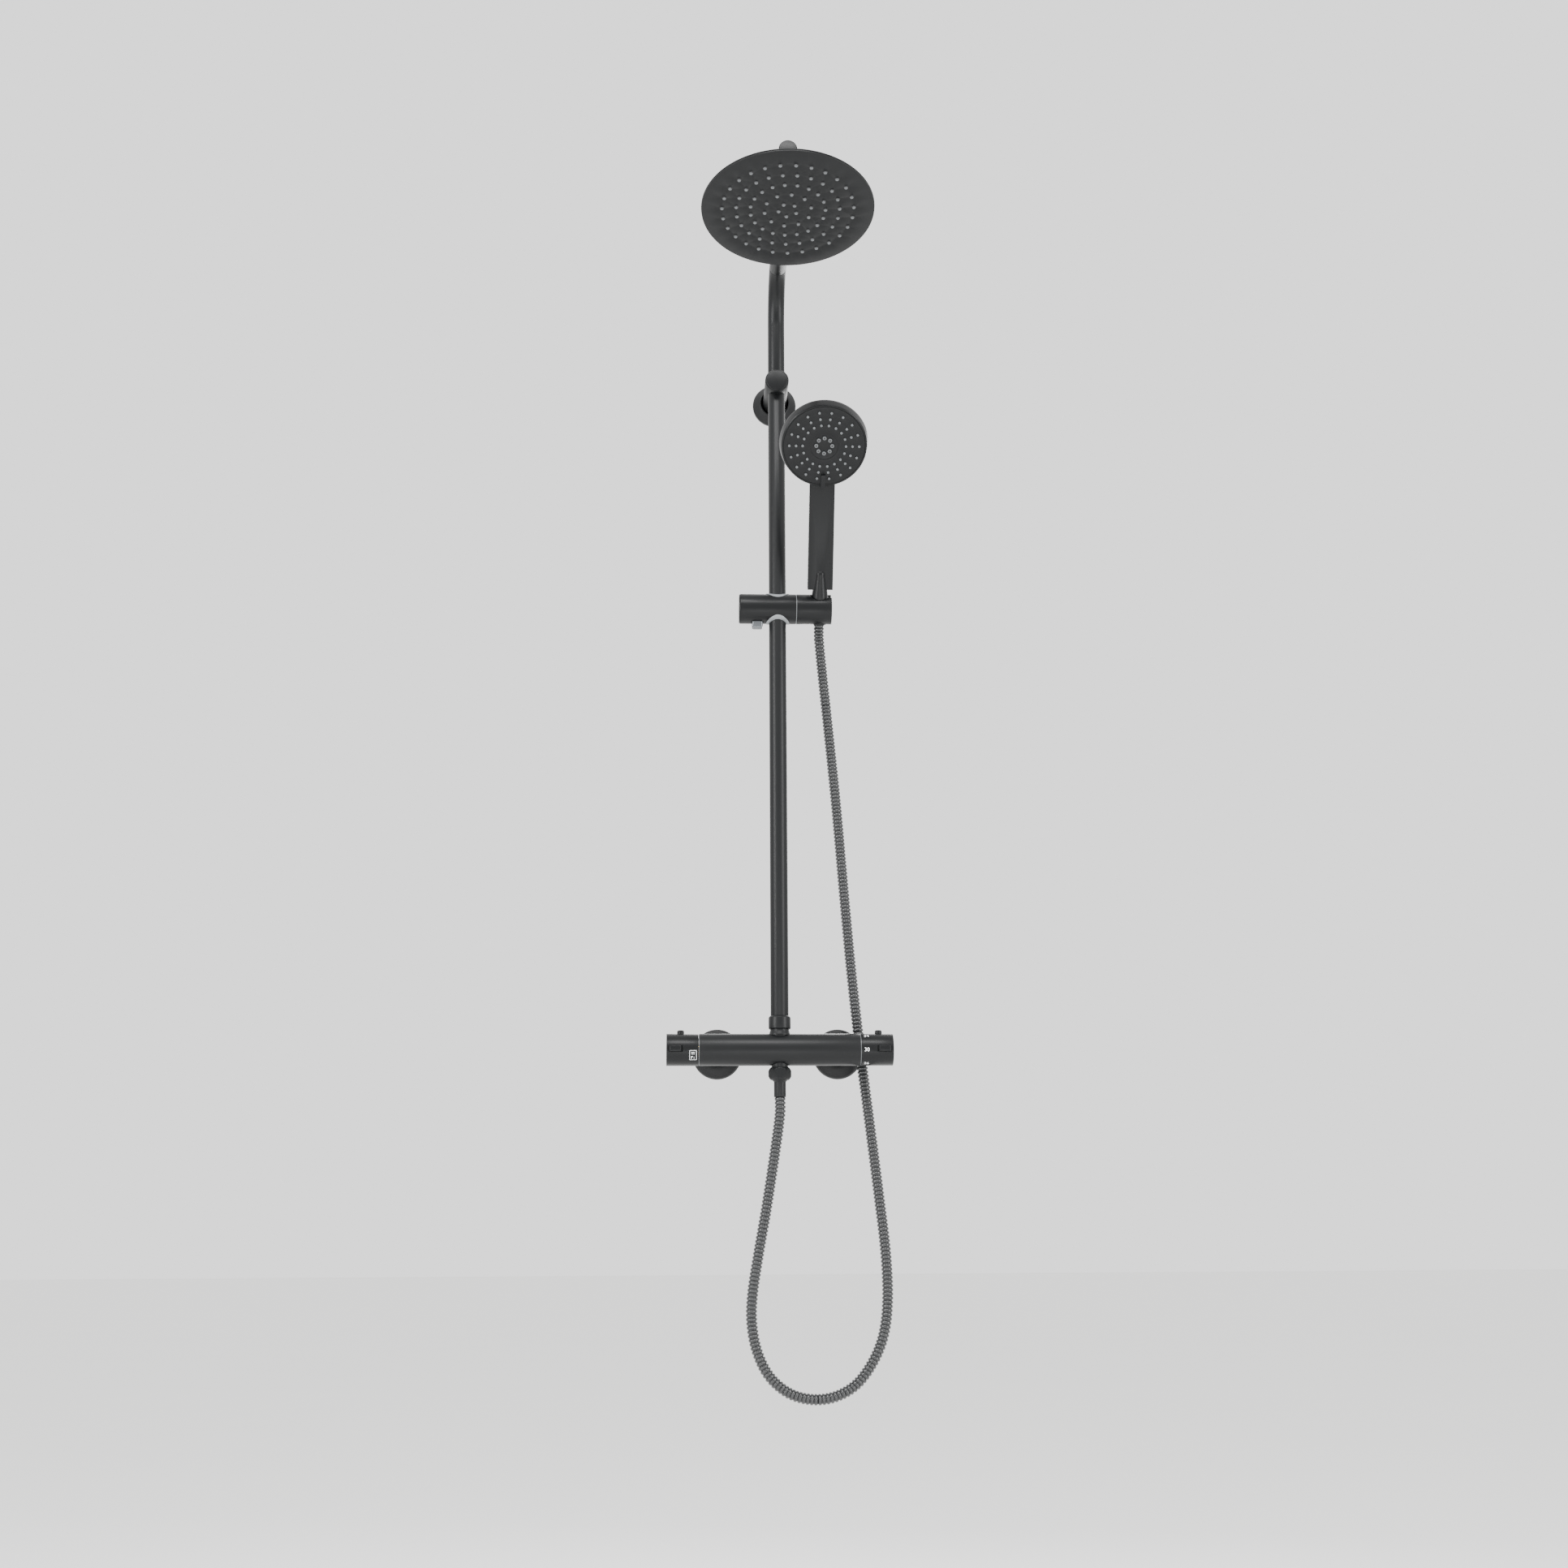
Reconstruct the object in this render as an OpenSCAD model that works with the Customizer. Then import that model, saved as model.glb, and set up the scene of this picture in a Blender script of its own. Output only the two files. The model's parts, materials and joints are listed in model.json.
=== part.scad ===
// Rainfall shower column: a wall-mounted bar mixer valve with a riser, an overhead
// rain head on a ball joint and a handset on a sliding, tilting cradle.
// Millimetres. X to the right, +Y into the wall, +Z up. The wall is the plane y = 0.
// The origin is the point on the wall midway between the two water inlets.

/* [Valve bar] */
// Distance between the two water inlets
inlet_spacing = 150; // [130:1:180]
// Distance from the wall to the bar and riser axis
standoff = 68; // [62:1:85]
// Outside diameter of the valve bar
bar_d = 38.5; // [36:0.1:50]
// Length of the bar between the two knobs
bar_l = 195; // [185:1:240]
// Wall of the bar around the cartridge chambers
bar_wall = 4.25; // [3:0.25:6]
// Depth of the temperature cartridge chamber
thermo_depth = 76; // [66:1:80]
// Depth of the diverter cartridge chamber
diverter_depth = 58; // [50:1:70]
// Diameter of the waterways in the bar
waterway_d = 13; // [10:0.5:14]

/* [Knobs] */
// Length of each knob
knob_l = 38.5; // [34:0.5:48]
// Wall of the knob's sleeve
knob_wall = 3.6; // [3:0.1:4]
// Thickness of the knob's end wall
knob_end = 5; // [4:0.5:7]
// Width of the coloured stop ring between bar and knob
ring_w = 1; // [0.8:0.1:2]
// Diameter of each cartridge spindle
spindle_d = 8; // [7:0.5:9]
// Length of the knob's push button
button_l = 16; // [12:0.5:18]
// Width of the knob's push button
button_w = 7; // [5:0.5:9]
// Height of the button above the knob's surface
button_rise = 3; // [2:0.5:5]
// Travel of each knob button
button_travel = 1.5; // [1:0.1:2]
// Diameter of the round grip stud on top of the knob
stud_d = 8.5; // [6:0.5:10]
// Height of the grip stud above the knob
stud_rise = 4; // [2:0.5:6]

/* [Inlets] */
// Outside diameter of the wall flange
flange_d = 61.5; // [50:0.5:75]
// Thickness of the wall flange
flange_t = 9; // [7:0.5:12]
// Outside diameter of the union where it screws into the wall
union_d = 20.5; // [19:0.5:23]
// Waterway through the union
union_bore = 15; // [12:0.5:16]
// Length of union that goes into the wall
union_reach = 14; // [10:1:20]
// Width across flats of the inlet nut
inlet_nut_af = 30; // [29:0.5:32]

/* [Riser and arm] */
// Outside diameter of the riser pipe and the arm
riser_d = 22; // [18:0.1:27]
// Wall of the riser pipe
riser_wall = 1.5; // [1:0.1:2]
// Height of the wall bracket above the inlets
bracket_z = 870; // [780:1:1050]
// Height from the bracket to the start of the bend
bend_rise = 83; // [50:1:150]
// Centreline radius of the bend
bend_r = 60; // [50:1:80]
// Upward slope of the arm in degrees
arm_slope = 3; // [0:0.5:10]
// Straight length of the arm after the bend
arm_l = 273; // [220:1:340]
// Wall of the collar nut on top of the valve
collar_wall = 2.5; // [2:0.1:5]
// Height of the collar nut
collar_h = 16; // [14:0.5:20]

/* [Wall bracket] */
// Wall of the bracket's arm beside the riser
bracket_wall = 4.5; // [3:0.5:8]
// Distance the bracket arm runs in front of the riser axis
bracket_nose = 22; // [18:0.5:30]
// Diameter of the bracket's wall flange
bracket_flange_d = 58; // [50:0.5:70]
// Distance between the two wall screws of the bracket
screw_spacing = 32; // [30:1:38]
// Diameter of the screw holes in the wall plate
screw_hole_d = 5; // [4:0.5:6]

/* [Rain head] */
// Diameter of the rain head
head_d = 205; // [180:1:260]
// Thickness of the rain head at its rim
head_rim = 4; // [3:0.5:6]
// Distance from the arm's tip back to the drop outlet
drop_back = 20; // [16:1:30]
// Diameter of the drop outlet
drop_d = 18; // [16:0.5:20]
// Diameter of the swivel ball
ball_d = 16; // [14:0.5:17]
// Length of the hub under the swivel nut
hub_l = 14.5; // [10:0.5:20]
// Tilt of the rain head at rest, in degrees from level
head_tilt = 11; // [0:0.5:12]
// Number of nozzle rings in the rain head
head_rings = 5; // [3:1:5]

/* [Slider and cradle] */
// Height of the slider axis above the inlets
slider_z = 561; // [400:1:640]
// Diameter of the slider and the cradle
slider_d = 38.5; // [36:0.1:47]
// Length of the slider to the left of the riser axis
slider_left = 49.5; // [46:0.5:60]
// Length of the slider to the right of the riser axis
slider_right = 23.5; // [20:0.5:28]
// Length of the cradle
cradle_l = 44.5; // [44:0.5:50]
// Distance from the riser axis to the handset axis
handset_x = 54; // [52:0.5:56]
// Width of the slot that lets the hose pass
slot_w = 15.5; // [14.5:0.5:17]
// Tilt of the handset at rest, in degrees from upright
handle_tilt = 32; // [20:1:45]

/* [Handset] */
// Width of the handle
handle_w = 32; // [28:0.5:38]
// Thickness of the handle at its foot
handle_t = 14; // [13:0.5:18]
// Distance along the handle from the cradle to the face centre
face_dist = 213; // [190:1:240]
// Diameter of the handset's head
hand_head_d = 112; // [100:1:130]
// Depth of the handset's rim band
hand_rim = 13; // [11:0.5:16]
// Angle between the handset's axis and the spray face
face_tilt = 11; // [6:0.5:14]
// Number of nozzle spokes in the handset's face
hand_spokes = 18; // [12:1:20]

/* [Hose] */
// Outside diameter of the hose
hose_d = 13.5; // [13:0.5:14]
// Width across flats of the hose nut
hose_nut_af = 24; // [24:0.5:27]
// Diameter of the ferrule at the valve end
ferrule_d = 14.5; // [14.2:0.1:16]
// Length of the ferrule
ferrule_l = 19; // [15:0.5:20]

/* [Hidden] */
$fn = 64;

// Clearances
fit_gap = 0.2;      // between fixed pieces that are assembled by hand
run_gap = 0.05;     // radial clearance of a turning or sliding fit
travel_gap = 0.4;   // between pieces on different bodies

// Derived places of the valve
bar_r = bar_d / 2;
chamber_d = bar_d - 2 * bar_wall;
half_bar = bar_l / 2;
knob_x = half_bar + ring_w + travel_gap;
knob_end_x = knob_x + knob_l;
knob_bore_r = bar_r - knob_wall;
inlet_x = inlet_spacing / 2;
bar_back = standoff - bar_r;
neck_r = waterway_d / 2 + 5;
neck_top = bar_r + 5.5;
outlet_r = 10;
outlet_z = -bar_r - 14;

// Derived places of the inlets
stub_r = 12;
stub_face = 38;
washer_t = 2;
union_shoulder = 22;
inlet_nut_back = 26;
inlet_nut_front = bar_back - 1;

// Derived places of the riser, the bend and the arm
riser_r = riser_d / 2;
riser_in = riser_r - riser_wall;
collar_d = riser_d + 2 * collar_wall;
riser_foot = neck_top + 0.5;
bend_z = bracket_z + bend_rise;
bend_angle = 90 - arm_slope;
bend_end_y = standoff + bend_r * (1 - cos(bend_angle));
bend_end_z = bend_z + bend_r * sin(bend_angle);
tip_y = bend_end_y + arm_l * cos(arm_slope);
tip_z = bend_end_z + arm_l * sin(arm_slope);
drop_y = tip_y - drop_back;
drop_z = tip_z - drop_back * tan(arm_slope);
drop_foot = drop_z - riser_r / cos(arm_slope) - 15;
ball_r = ball_d / 2;
ball_z = drop_foot - ball_r - 2;

// Derived places of the rain head, measured down from the ball's centre
head_r = head_d / 2;
seat_r = ball_r + 2.5;
socket_r = seat_r + 2.5;
socket_top = ball_r * 0.55;
plate_top = socket_r + hub_l;
plate_face = plate_top + 6 + head_rim;
rain_ring_r = [for (i = [0 : head_rings - 1]) head_r * (0.108 + 0.163 * i)];
rain_ring_n = [5, 10, 19, 23, 27];
rain_ring_turn = [24.5, 24.5, 16.4, 11.4, 7.6];
rain_nub_r = 1.9;

// Derived places of the bracket
bracket_d = riser_d + 2 * bracket_wall;
bracket_r = bracket_d / 2;
bracket_front = standoff + bracket_nose;
boss_r = 10;
boss_l = 20;
plate_t = 3;

// Derived places of the slider and the cradle
slider_r = slider_d / 2;
liner_r = riser_r + 2;
rim_r = riser_r + 4.2;
cradle_x = slider_right + 1;
pivot_r = 9;
pivot_l = 9;
web_x = cradle_x + pivot_l + 0.5;
web_t = 2.2;
cone_mid_r = 11.8;
cone_taper = 0.0415;
button_x = -26;
slide_button_travel = 2;

// Derived places of the handset
hand_r = hand_head_d / 2;
face_rim_r = hand_r - 2.4;
face_r = hand_r - 5;
handle_foot = slider_r + 8;
handle_foot_front = -5;
handle_lean = 0.095;
handle_top_t = 7.5;
face_front = 10;
nut_foot = -slider_r + 1;
nut_top = 14;
hose_r = hose_d / 2;
hose_bore_r = hose_r + 0.3;
hose_end = 24;
hand_ring_r = [hand_r * 0.485, hand_r * 0.632, hand_r * 0.782];
hand_nub_r = 1.6;
core_n = 8;
fin_w = 5.5;

// Route of the hose's centreline, from the ferrule to the cradle, chosen by hand
hose_start = [0, -standoff, outlet_z - 4.5 - ferrule_l];
hose_route = [
    [0, -68, -75], [-3, -66, -100], [-9, -64, -140], [-17, -60, -190], [-26, -57, -240],
    [-33, -54, -285], [-34, -52, -318], [-28, -50, -350], [-14, -50, -378], [8, -49, -397],
    [34, -49, -405], [62, -49, -403], [88, -48, -390], [108, -48, -366], [122, -48, -335],
    [128, -47, -295], [127, -45, -240], [120, -42, -170], [110, -38, -80], [101, -36, 0],
    [92, -35, 90], [84, -34, 190], [75, -34, 310], [66, -35, 410], [59, -40, 480],
    [55, -48, 519]
];
hose_sides = 12;
hose_steps = 3;

// Radius of the cradle's cone at a height above the slider's axis
function cone_r(z) = cone_mid_r + cone_taper * z;

// Shared helpers ------------------------------------------------------------------

// Children stand on the bar's axis and point to the right
module along_bar(x) {
    translate([x, -standoff, 0]) rotate([0, 90, 0]) children();
}

// Children stand at a distance from the wall and point into it
module into_wall(x, z, from_wall) {
    translate([x, -from_wall, z]) rotate([-90, 0, 0]) children();
}

// Ring standing on the plane z = 0
module ring(outer, inner, h) {
    difference() {
        cylinder(r = outer, h = h);
        translate([0, 0, -1]) cylinder(r = inner, h = h + 2);
    }
}

// Hexagonal nut with rounded corners, standing on the plane z = 0
module hex_nut(af, inner, h) {
    difference() {
        intersection() {
            cylinder(r = af / 2 / cos(30), h = h, $fn = 6);
            cylinder(r = af / 2 * 1.08, h = h);
        }
        translate([0, 0, -1]) cylinder(r = inner, h = h + 2);
    }
}

// Rectangle with round corners, centred
module rounded_rect(w, h, r) {
    square([w - 2 * r, h], center = true);
    square([w, h - 2 * r], center = true);
    for (sx = [-1, 1]) {
        for (sy = [-1, 1]) {
            translate([sx * (w / 2 - r), sy * (h / 2 - r)]) circle(r = r);
        }
    }
}

function unit(v) = v / norm(v);

// A point on a smooth curve through p1 and p2, with neighbours p0 and p3
function curve_point(p0, p1, p2, p3, t) =
    0.5 * ((2 * p1) + (p2 - p0) * t + (2 * p0 - 5 * p1 + 4 * p2 - p3) * t * t
    + (3 * p1 - p0 - 3 * p2 + p3) * t * t * t);

// A smooth line through all the points, with steps pieces between two of them
function smooth_line(p, steps) = [
    for (i = [0 : len(p) - 2], j = [0 : steps - 1])
        curve_point(p[max(i - 1, 0)], p[i], p[i + 1], p[min(i + 2, len(p) - 1)], j / steps),
    p[len(p) - 1]
];

// Side direction of a ring, carried along the line so that the tube doesn't twist
function carried_sides(dirs, side, i = 0) =
    i >= len(dirs) ? [] :
    let (s = unit(side - dirs[i] * (side * dirs[i])))
    concat([s], carried_sides(dirs, s, i + 1));

function line_dirs(p) = [
    for (i = [0 : len(p) - 1]) unit(p[min(i + 1, len(p) - 1)] - p[max(i - 1, 0)])
];

// Round tube swept along a line of points, closed at both ends
module swept_tube(line, dirs, r, sides) {
    across = carried_sides(dirs, [1, 0.01, 0.02]);
    points = [
        for (i = [0 : len(line) - 1], k = [0 : sides - 1])
            line[i] + r * (cos(360 * k / sides) * across[i]
                + sin(360 * k / sides) * cross(dirs[i], across[i]))
    ];
    last = (len(line) - 1) * sides;
    walls = [
        for (i = [0 : len(line) - 2], k = [0 : sides - 1])
            [i * sides + k, (i + 1) * sides + k,
             (i + 1) * sides + (k + 1) % sides, i * sides + (k + 1) % sides]
    ];
    foot = [[for (k = [0 : sides - 1]) k]];
    top = [[for (k = [0 : sides - 1]) last + sides - 1 - k]];
    polyhedron(points = points, faces = concat(walls, foot, top), convexity = 10);
}

// Coil spring standing on the plane z = 0
module coil_spring(r, wire_r, h, turns) {
    per_turn = 12;
    line = [
        for (i = [0 : turns * per_turn])
            [r * cos(360 * i / per_turn), r * sin(360 * i / per_turn),
             wire_r + (h - 2 * wire_r) * i / (turns * per_turn)]
    ];
    swept_tube(line, line_dirs(line), wire_r, 6);
}

// Valve -------------------------------------------------------------------------

module valve_body() {
    color("#26282a") difference() {
        union() {
            along_bar(-half_bar) cylinder(d = bar_d, h = bar_l);
            translate([0, -standoff, 0]) {
                cylinder(r = neck_r, h = neck_top);
                translate([0, 0, bar_r - 2]) cylinder(r1 = neck_r + 2, r2 = neck_r, h = 6);
                translate([0, 0, outlet_z]) cylinder(r = outlet_r, h = -outlet_z);
            }
            for (side = [-1, 1]) {
                into_wall(side * inlet_x, 0, standoff) cylinder(r = stub_r, h = standoff - stub_face);
            }
        }
        along_bar(half_bar - thermo_depth) cylinder(d = chamber_d, h = thermo_depth + 1);
        along_bar(-half_bar - 1) cylinder(d = chamber_d, h = diverter_depth + 1);
        along_bar(-half_bar) cylinder(d = waterway_d, h = bar_l);
        translate([0, -standoff, 0]) cylinder(d = waterway_d, h = neck_top + 1);
        translate([0, -standoff, outlet_z - 1]) cylinder(d = waterway_d, h = -outlet_z + 1);
        for (side = [-1, 1]) {
            into_wall(side * inlet_x, 0, standoff) cylinder(d = waterway_d + 1, h = standoff);
        }
    }
}

// Cartridge lying along +Z with its spindle mouth at the top, from the chamber floor
module cartridge(depth, spindle_depth) {
    body_l = depth - 1;
    difference() {
        union() {
            cylinder(d = chamber_d - 2 * fit_gap, h = body_l - 12);
            cylinder(d = chamber_d - 8, h = body_l);
            translate([0, 0, body_l - 4]) cylinder(d = chamber_d - 2 * fit_gap, h = 4);
            cylinder(r = spindle_d / 2 + 4, h = body_l + 6);
        }
        for (z = [body_l * 0.3, body_l * 0.6]) {
            translate([0, 0, z]) difference() {
                cylinder(d = chamber_d + 1, h = 3);
                translate([0, 0, -1]) cylinder(d = chamber_d - 4, h = 5);
            }
        }
        translate([0, 0, body_l + 6 - spindle_depth]) {
            cylinder(r = spindle_d / 2 + run_gap, h = spindle_depth + 1);
        }
    }
}

module thermo_cartridge() {
    color("#c9b27a") along_bar(half_bar - thermo_depth + 0.5) cartridge(thermo_depth, 30);
}

module diverter_cartridge() {
    color("#c9b27a") mirror([1, 0, 0]) {
        along_bar(half_bar - diverter_depth + 0.5) cartridge(diverter_depth, 30);
    }
}

module stop_ring() {
    along_bar(half_bar) ring(bar_r - 0.2, chamber_d / 2 + 0.5, ring_w);
}

module thermo_stop_ring() {
    color("#6c6f72") stop_ring();
}

module diverter_stop_ring() {
    color("#6c6f72") mirror([1, 0, 0]) stop_ring();
}

// Inlets ------------------------------------------------------------------------

module inlet_union(side) {
    color("#8d8f90") into_wall(side * inlet_x, 0, stub_face - washer_t) difference() {
        union() {
            cylinder(r = stub_r, h = stub_face - washer_t - union_shoulder);
            cylinder(d = union_d, h = stub_face - washer_t + union_reach);
        }
        translate([0, 0, -1]) cylinder(d = union_bore, h = stub_face + union_reach + 2);
    }
}

module inlet_union_left() {
    inlet_union(-1);
}

module inlet_union_right() {
    inlet_union(1);
}

module inlet_nut(side) {
    color("#26282a") into_wall(side * inlet_x, 0, inlet_nut_front) {
        hex_nut(inlet_nut_af, stub_r + fit_gap, inlet_nut_front - inlet_nut_back);
    }
}

module inlet_nut_left() {
    inlet_nut(-1);
}

module inlet_nut_right() {
    inlet_nut(1);
}

module wall_flange(side) {
    rim = flange_d / 2;
    hole = union_d / 2 + 0.5;
    color("#26282a") into_wall(side * inlet_x, 0, 0) rotate_extrude() polygon([
        [hole, 0], [rim, 0], [rim, -flange_t + 3], [rim - 2, -flange_t],
        [hole + 9, -flange_t - 2], [hole, -flange_t - 3], [hole, -flange_t],
        [rim - 6, -flange_t + 4], [rim - 4, -2], [hole, -2]
    ]);
}

module wall_flange_left() {
    wall_flange(-1);
}

module wall_flange_right() {
    wall_flange(1);
}

module inlet_filters() {
    color("#d8d8d4") for (side = [-1, 1]) {
        into_wall(side * inlet_x, 0, stub_face) {
            ring(stub_r - 0.2, union_bore / 2 - 1.5, washer_t);
            translate([0, 0, 0.7]) cylinder(r = union_bore / 2 - 1, h = 0.6);
        }
    }
}

module check_valves() {
    color("#e8e6df") for (side = [-1, 1]) {
        into_wall(side * inlet_x, 0, stub_face + 14) difference() {
            cylinder(d = waterway_d + 1 - 2 * fit_gap, h = 12);
            for (a = [0 : 120 : 240]) {
                rotate([0, 0, a]) translate([3.7, 0, -1]) cylinder(r = 1.8, h = 14);
            }
        }
    }
}

// Riser, joiner and arm -----------------------------------------------------------

module riser_collar() {
    mouth = riser_r + fit_gap;
    skirt = neck_r + 0.7;
    color("#26282a") translate([0, -standoff, neck_top]) difference() {
        rotate_extrude() polygon([
            [skirt, 0], [collar_d / 2 - 0.8, 0], [collar_d / 2, 0.8], [collar_d / 2, collar_h - 2],
            [collar_d / 2 - 1.8, collar_h], [mouth, collar_h], [mouth, 0.5], [skirt, 0.5]
        ]);
    }
}

module riser_seal() {
    color("#101010") translate([0, -standoff, riser_foot + 6]) rotate_extrude() {
        translate([riser_in - 1.2, 0]) circle(r = 0.9);
    }
}

module riser_pipe() {
    color("#26282a") translate([0, -standoff, riser_foot]) {
        ring(riser_r, riser_in, bracket_z - riser_foot - 0.2);
    }
}

module riser_joiner() {
    color("#b59a5b") translate([0, -standoff, bracket_z - 22]) {
        ring(riser_in - fit_gap / 2, riser_in - 2, 44);
    }
}

// The bent arm lies in the plane x = 0
module shower_arm() {
    bore_r = riser_in;
    color("#26282a") difference() {
        translate([0, -standoff, 0]) {
            translate([0, 0, bracket_z + 0.2]) ring(riser_r, bore_r, bend_rise - 0.2);
            translate([0, -bend_r, bend_z]) rotate([90, 0, 90]) {
                rotate_extrude(angle = bend_angle) translate([bend_r, 0]) difference() {
                    circle(r = riser_r);
                    circle(r = bore_r);
                }
            }
            translate([0, standoff - bend_end_y, bend_end_z]) rotate([bend_angle, 0, 0]) {
                ring(riser_r, bore_r, arm_l);
            }
        }
        translate([0, -drop_y, drop_z - riser_r - 4]) cylinder(r = 6.2, h = riser_r + 2);
    }
}

module arm_end_cap() {
    color("#2c2e30") translate([0, -tip_y, tip_z]) rotate([bend_angle, 0, 0]) {
        cylinder(r1 = riser_r, r2 = riser_r - 0.8, h = 1.8);
        translate([0, 0, -6]) cylinder(r = riser_in - fit_gap, h = 6);
    }
}

// Short pipe under the arm that ends in the ball of the swivel
module drop_outlet() {
    color("#26282a") translate([0, -drop_y, 0]) difference() {
        union() {
            difference() {
                translate([0, 0, drop_foot]) cylinder(d = drop_d, h = drop_z - drop_foot);
                translate([0, 0, drop_z]) rotate([bend_angle, 0, 0]) {
                    cylinder(r = riser_r + 0.02, h = 4 * riser_r, center = true);
                }
            }
            translate([0, 0, drop_foot]) cylinder(r = 6, h = drop_z - drop_foot - riser_r + 2.5);
            translate([0, 0, ball_z]) cylinder(r = 5, h = drop_foot - ball_z + 1);
            translate([0, 0, ball_z]) sphere(r = ball_r);
        }
        translate([0, 0, ball_z - ball_r - 1]) cylinder(r = 3.2, h = drop_z - ball_z);
    }
}

// Wall bracket ------------------------------------------------------------------

module bracket_arm() {
    back = bracket_front - 5;
    color("#26282a") difference() {
        into_wall(0, bracket_z, bracket_front - 2) cylinder(r = bracket_r, h = back - 2);
        into_wall(0, bracket_z, boss_l + 3) cylinder(r = boss_r + fit_gap, h = boss_l + 3);
        translate([0, -standoff, bracket_z - bracket_r - 1]) {
            cylinder(r = riser_r + 0.05, h = bracket_d + 2);
        }
        into_wall(0, bracket_z, bracket_front + 1) cylinder(r = 8, h = 7);
        translate([0, -13, bracket_z - bracket_r - 1]) cylinder(r = 2.6, h = 8);
    }
}

module bracket_cap() {
    color("#2c2e30") into_wall(0, bracket_z, bracket_front) {
        cylinder(r1 = bracket_r - 1.6, r2 = bracket_r - 0.2, h = 1.9);
        cylinder(r = 8 - fit_gap, h = 5.5);
    }
}

module bracket_flange() {
    rim = bracket_flange_d / 2;
    hole = bracket_r + 0.3;
    color("#26282a") into_wall(0, bracket_z, 0) rotate_extrude() polygon([
        [rim - 2, 0], [rim, 0], [rim, -5], [rim - 1.2, -6.2], [hole + 4.5, -15], [hole + 2.5, -15],
        [hole + 1.5, -7], [hole, -6], [hole, -4.5], [hole + 2.5, -4.5], [rim - 4, -3.5]
    ]);
}

// Plate with a round boss that the bracket arm slips over
module bracket_plate() {
    color("#8d8f90") into_wall(0, bracket_z, 0) difference() {
        union() {
            translate([0, 0, -plate_t]) linear_extrude(plate_t) {
                rounded_rect(screw_spacing + 12, 14, 6);
            }
            translate([0, 0, -boss_l]) cylinder(r = boss_r, h = boss_l);
        }
        for (side = [-1, 1]) {
            translate([side * screw_spacing / 2, 0, -plate_t - 1]) {
                cylinder(d = screw_hole_d, h = plate_t + 2);
            }
        }
        translate([0, 0, -boss_l - 1]) cylinder(r = 3, h = boss_l + 2);
    }
}

module bracket_grub_screw() {
    color("#3a3a3c") translate([0, -13, bracket_z - bracket_r - 0.2]) difference() {
        cylinder(r = 2.5, h = bracket_r - boss_r);
        translate([0, 0, -0.1]) cylinder(r = 1.25, h = 2.6, $fn = 6);
    }
}

// Hose and its ends ---------------------------------------------------------------

module hose_nut() {
    color("#2c2e30") translate([0, -standoff, outlet_z - 3]) difference() {
        hex_nut(hose_nut_af, outlet_r + fit_gap, -outlet_z - bar_r + 1);
        translate([0, 0, -1]) cylinder(r = outlet_r + 1, h = 1);
    }
}

module hose_washer() {
    color("#101010") translate([0, -standoff, outlet_z - 2]) ring(outlet_r - 0.4, 5, 2);
}

module hose_ferrule() {
    flare = outlet_r - 0.4;
    foot = ferrule_d / 2;
    color("#2c2e30") translate([0, -standoff, outlet_z - 2]) rotate_extrude() polygon([
        [5, 0], [flare, 0], [flare, -1], [foot, -3.5], [foot, -2.5 - ferrule_l], [5, -2.5 - ferrule_l]
    ]);
}

function hose_line() = smooth_line(concat([hose_start], hose_route, [hose_top(-30), hose_top(hose_end)]),
    hose_steps);

// A point on the handset's axis, a distance above the cradle's centre
function hose_top(s) = [
    handset_x, -standoff - s * sin(handle_tilt), slider_z + s * cos(handle_tilt)
];

module hose() {
    line = hose_line();
    color("#2a2b2d") swept_tube(line, line_dirs(line), hose_r, hose_sides);
}

// Knobs -------------------------------------------------------------------------

// Knob on the right-hand end of the bar
module knob() {
    hub_r = spindle_d / 2 + 3.5;
    slot = [knob_wall + 3, button_w + 0.6, button_l + 0.6];
    along_bar(knob_x) difference() {
        union() {
            difference() {
                cylinder(r = bar_r, h = knob_l);
                translate([0, 0, -1]) cylinder(r = knob_bore_r, h = knob_l - knob_end + 1);
            }
            translate([0, 0, 12]) cylinder(r = hub_r, h = knob_l - 13);
            rotate([0, 0, 180]) translate([0, 0, knob_l - 17]) rotate([0, 90, 0]) {
                cylinder(d = stud_d, h = bar_r + stud_rise - 0.8);
                cylinder(r = stud_d / 2 - 0.8, h = bar_r + stud_rise);
            }
        }
        translate([0, 0, -2]) cylinder(r = knob_bore_r, h = 14);
        translate([0, 0, -1]) cylinder(r = spindle_d / 2 + 0.02, h = knob_l - knob_end);
        difference() {
            translate([0, 0, 11]) cylinder(r = knob_bore_r, h = knob_l - knob_end - 11);
            translate([0, 0, 10]) cylinder(r = hub_r, h = knob_l);
        }
        translate([0, 0, knob_l - knob_end - 2]) cylinder(r = 2.2, h = knob_end + 3);
        translate([0, 0, knob_l - 2]) cylinder(r = 10.2, h = 3);
        translate([0, 0, knob_l - 4]) cylinder(r = 4.6, h = 3);
        rotate([0, 0, 90]) translate([-bar_r - 1, -slot[1] / 2, knob_l - 2.9 - slot[2]]) {
            cube(slot);
        }
    }
}

module knob_cap() {
    along_bar(knob_end_x - 1.8) difference() {
        cylinder(r = 10, h = 1.8);
        rotate([0, 0, 90]) translate([9.2, 0, -1]) cylinder(r = 1.1, h = 4);
    }
}

module knob_screw() {
    along_bar(knob_end_x - knob_end - 7) difference() {
        union() {
            cylinder(r = 2, h = knob_end + 4);
            translate([0, 0, knob_end + 3.1]) cylinder(r = 4, h = 1.9);
        }
        translate([0, 0, knob_end + 4.2]) cube([0.9, 6, 2], center = true);
    }
}

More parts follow.
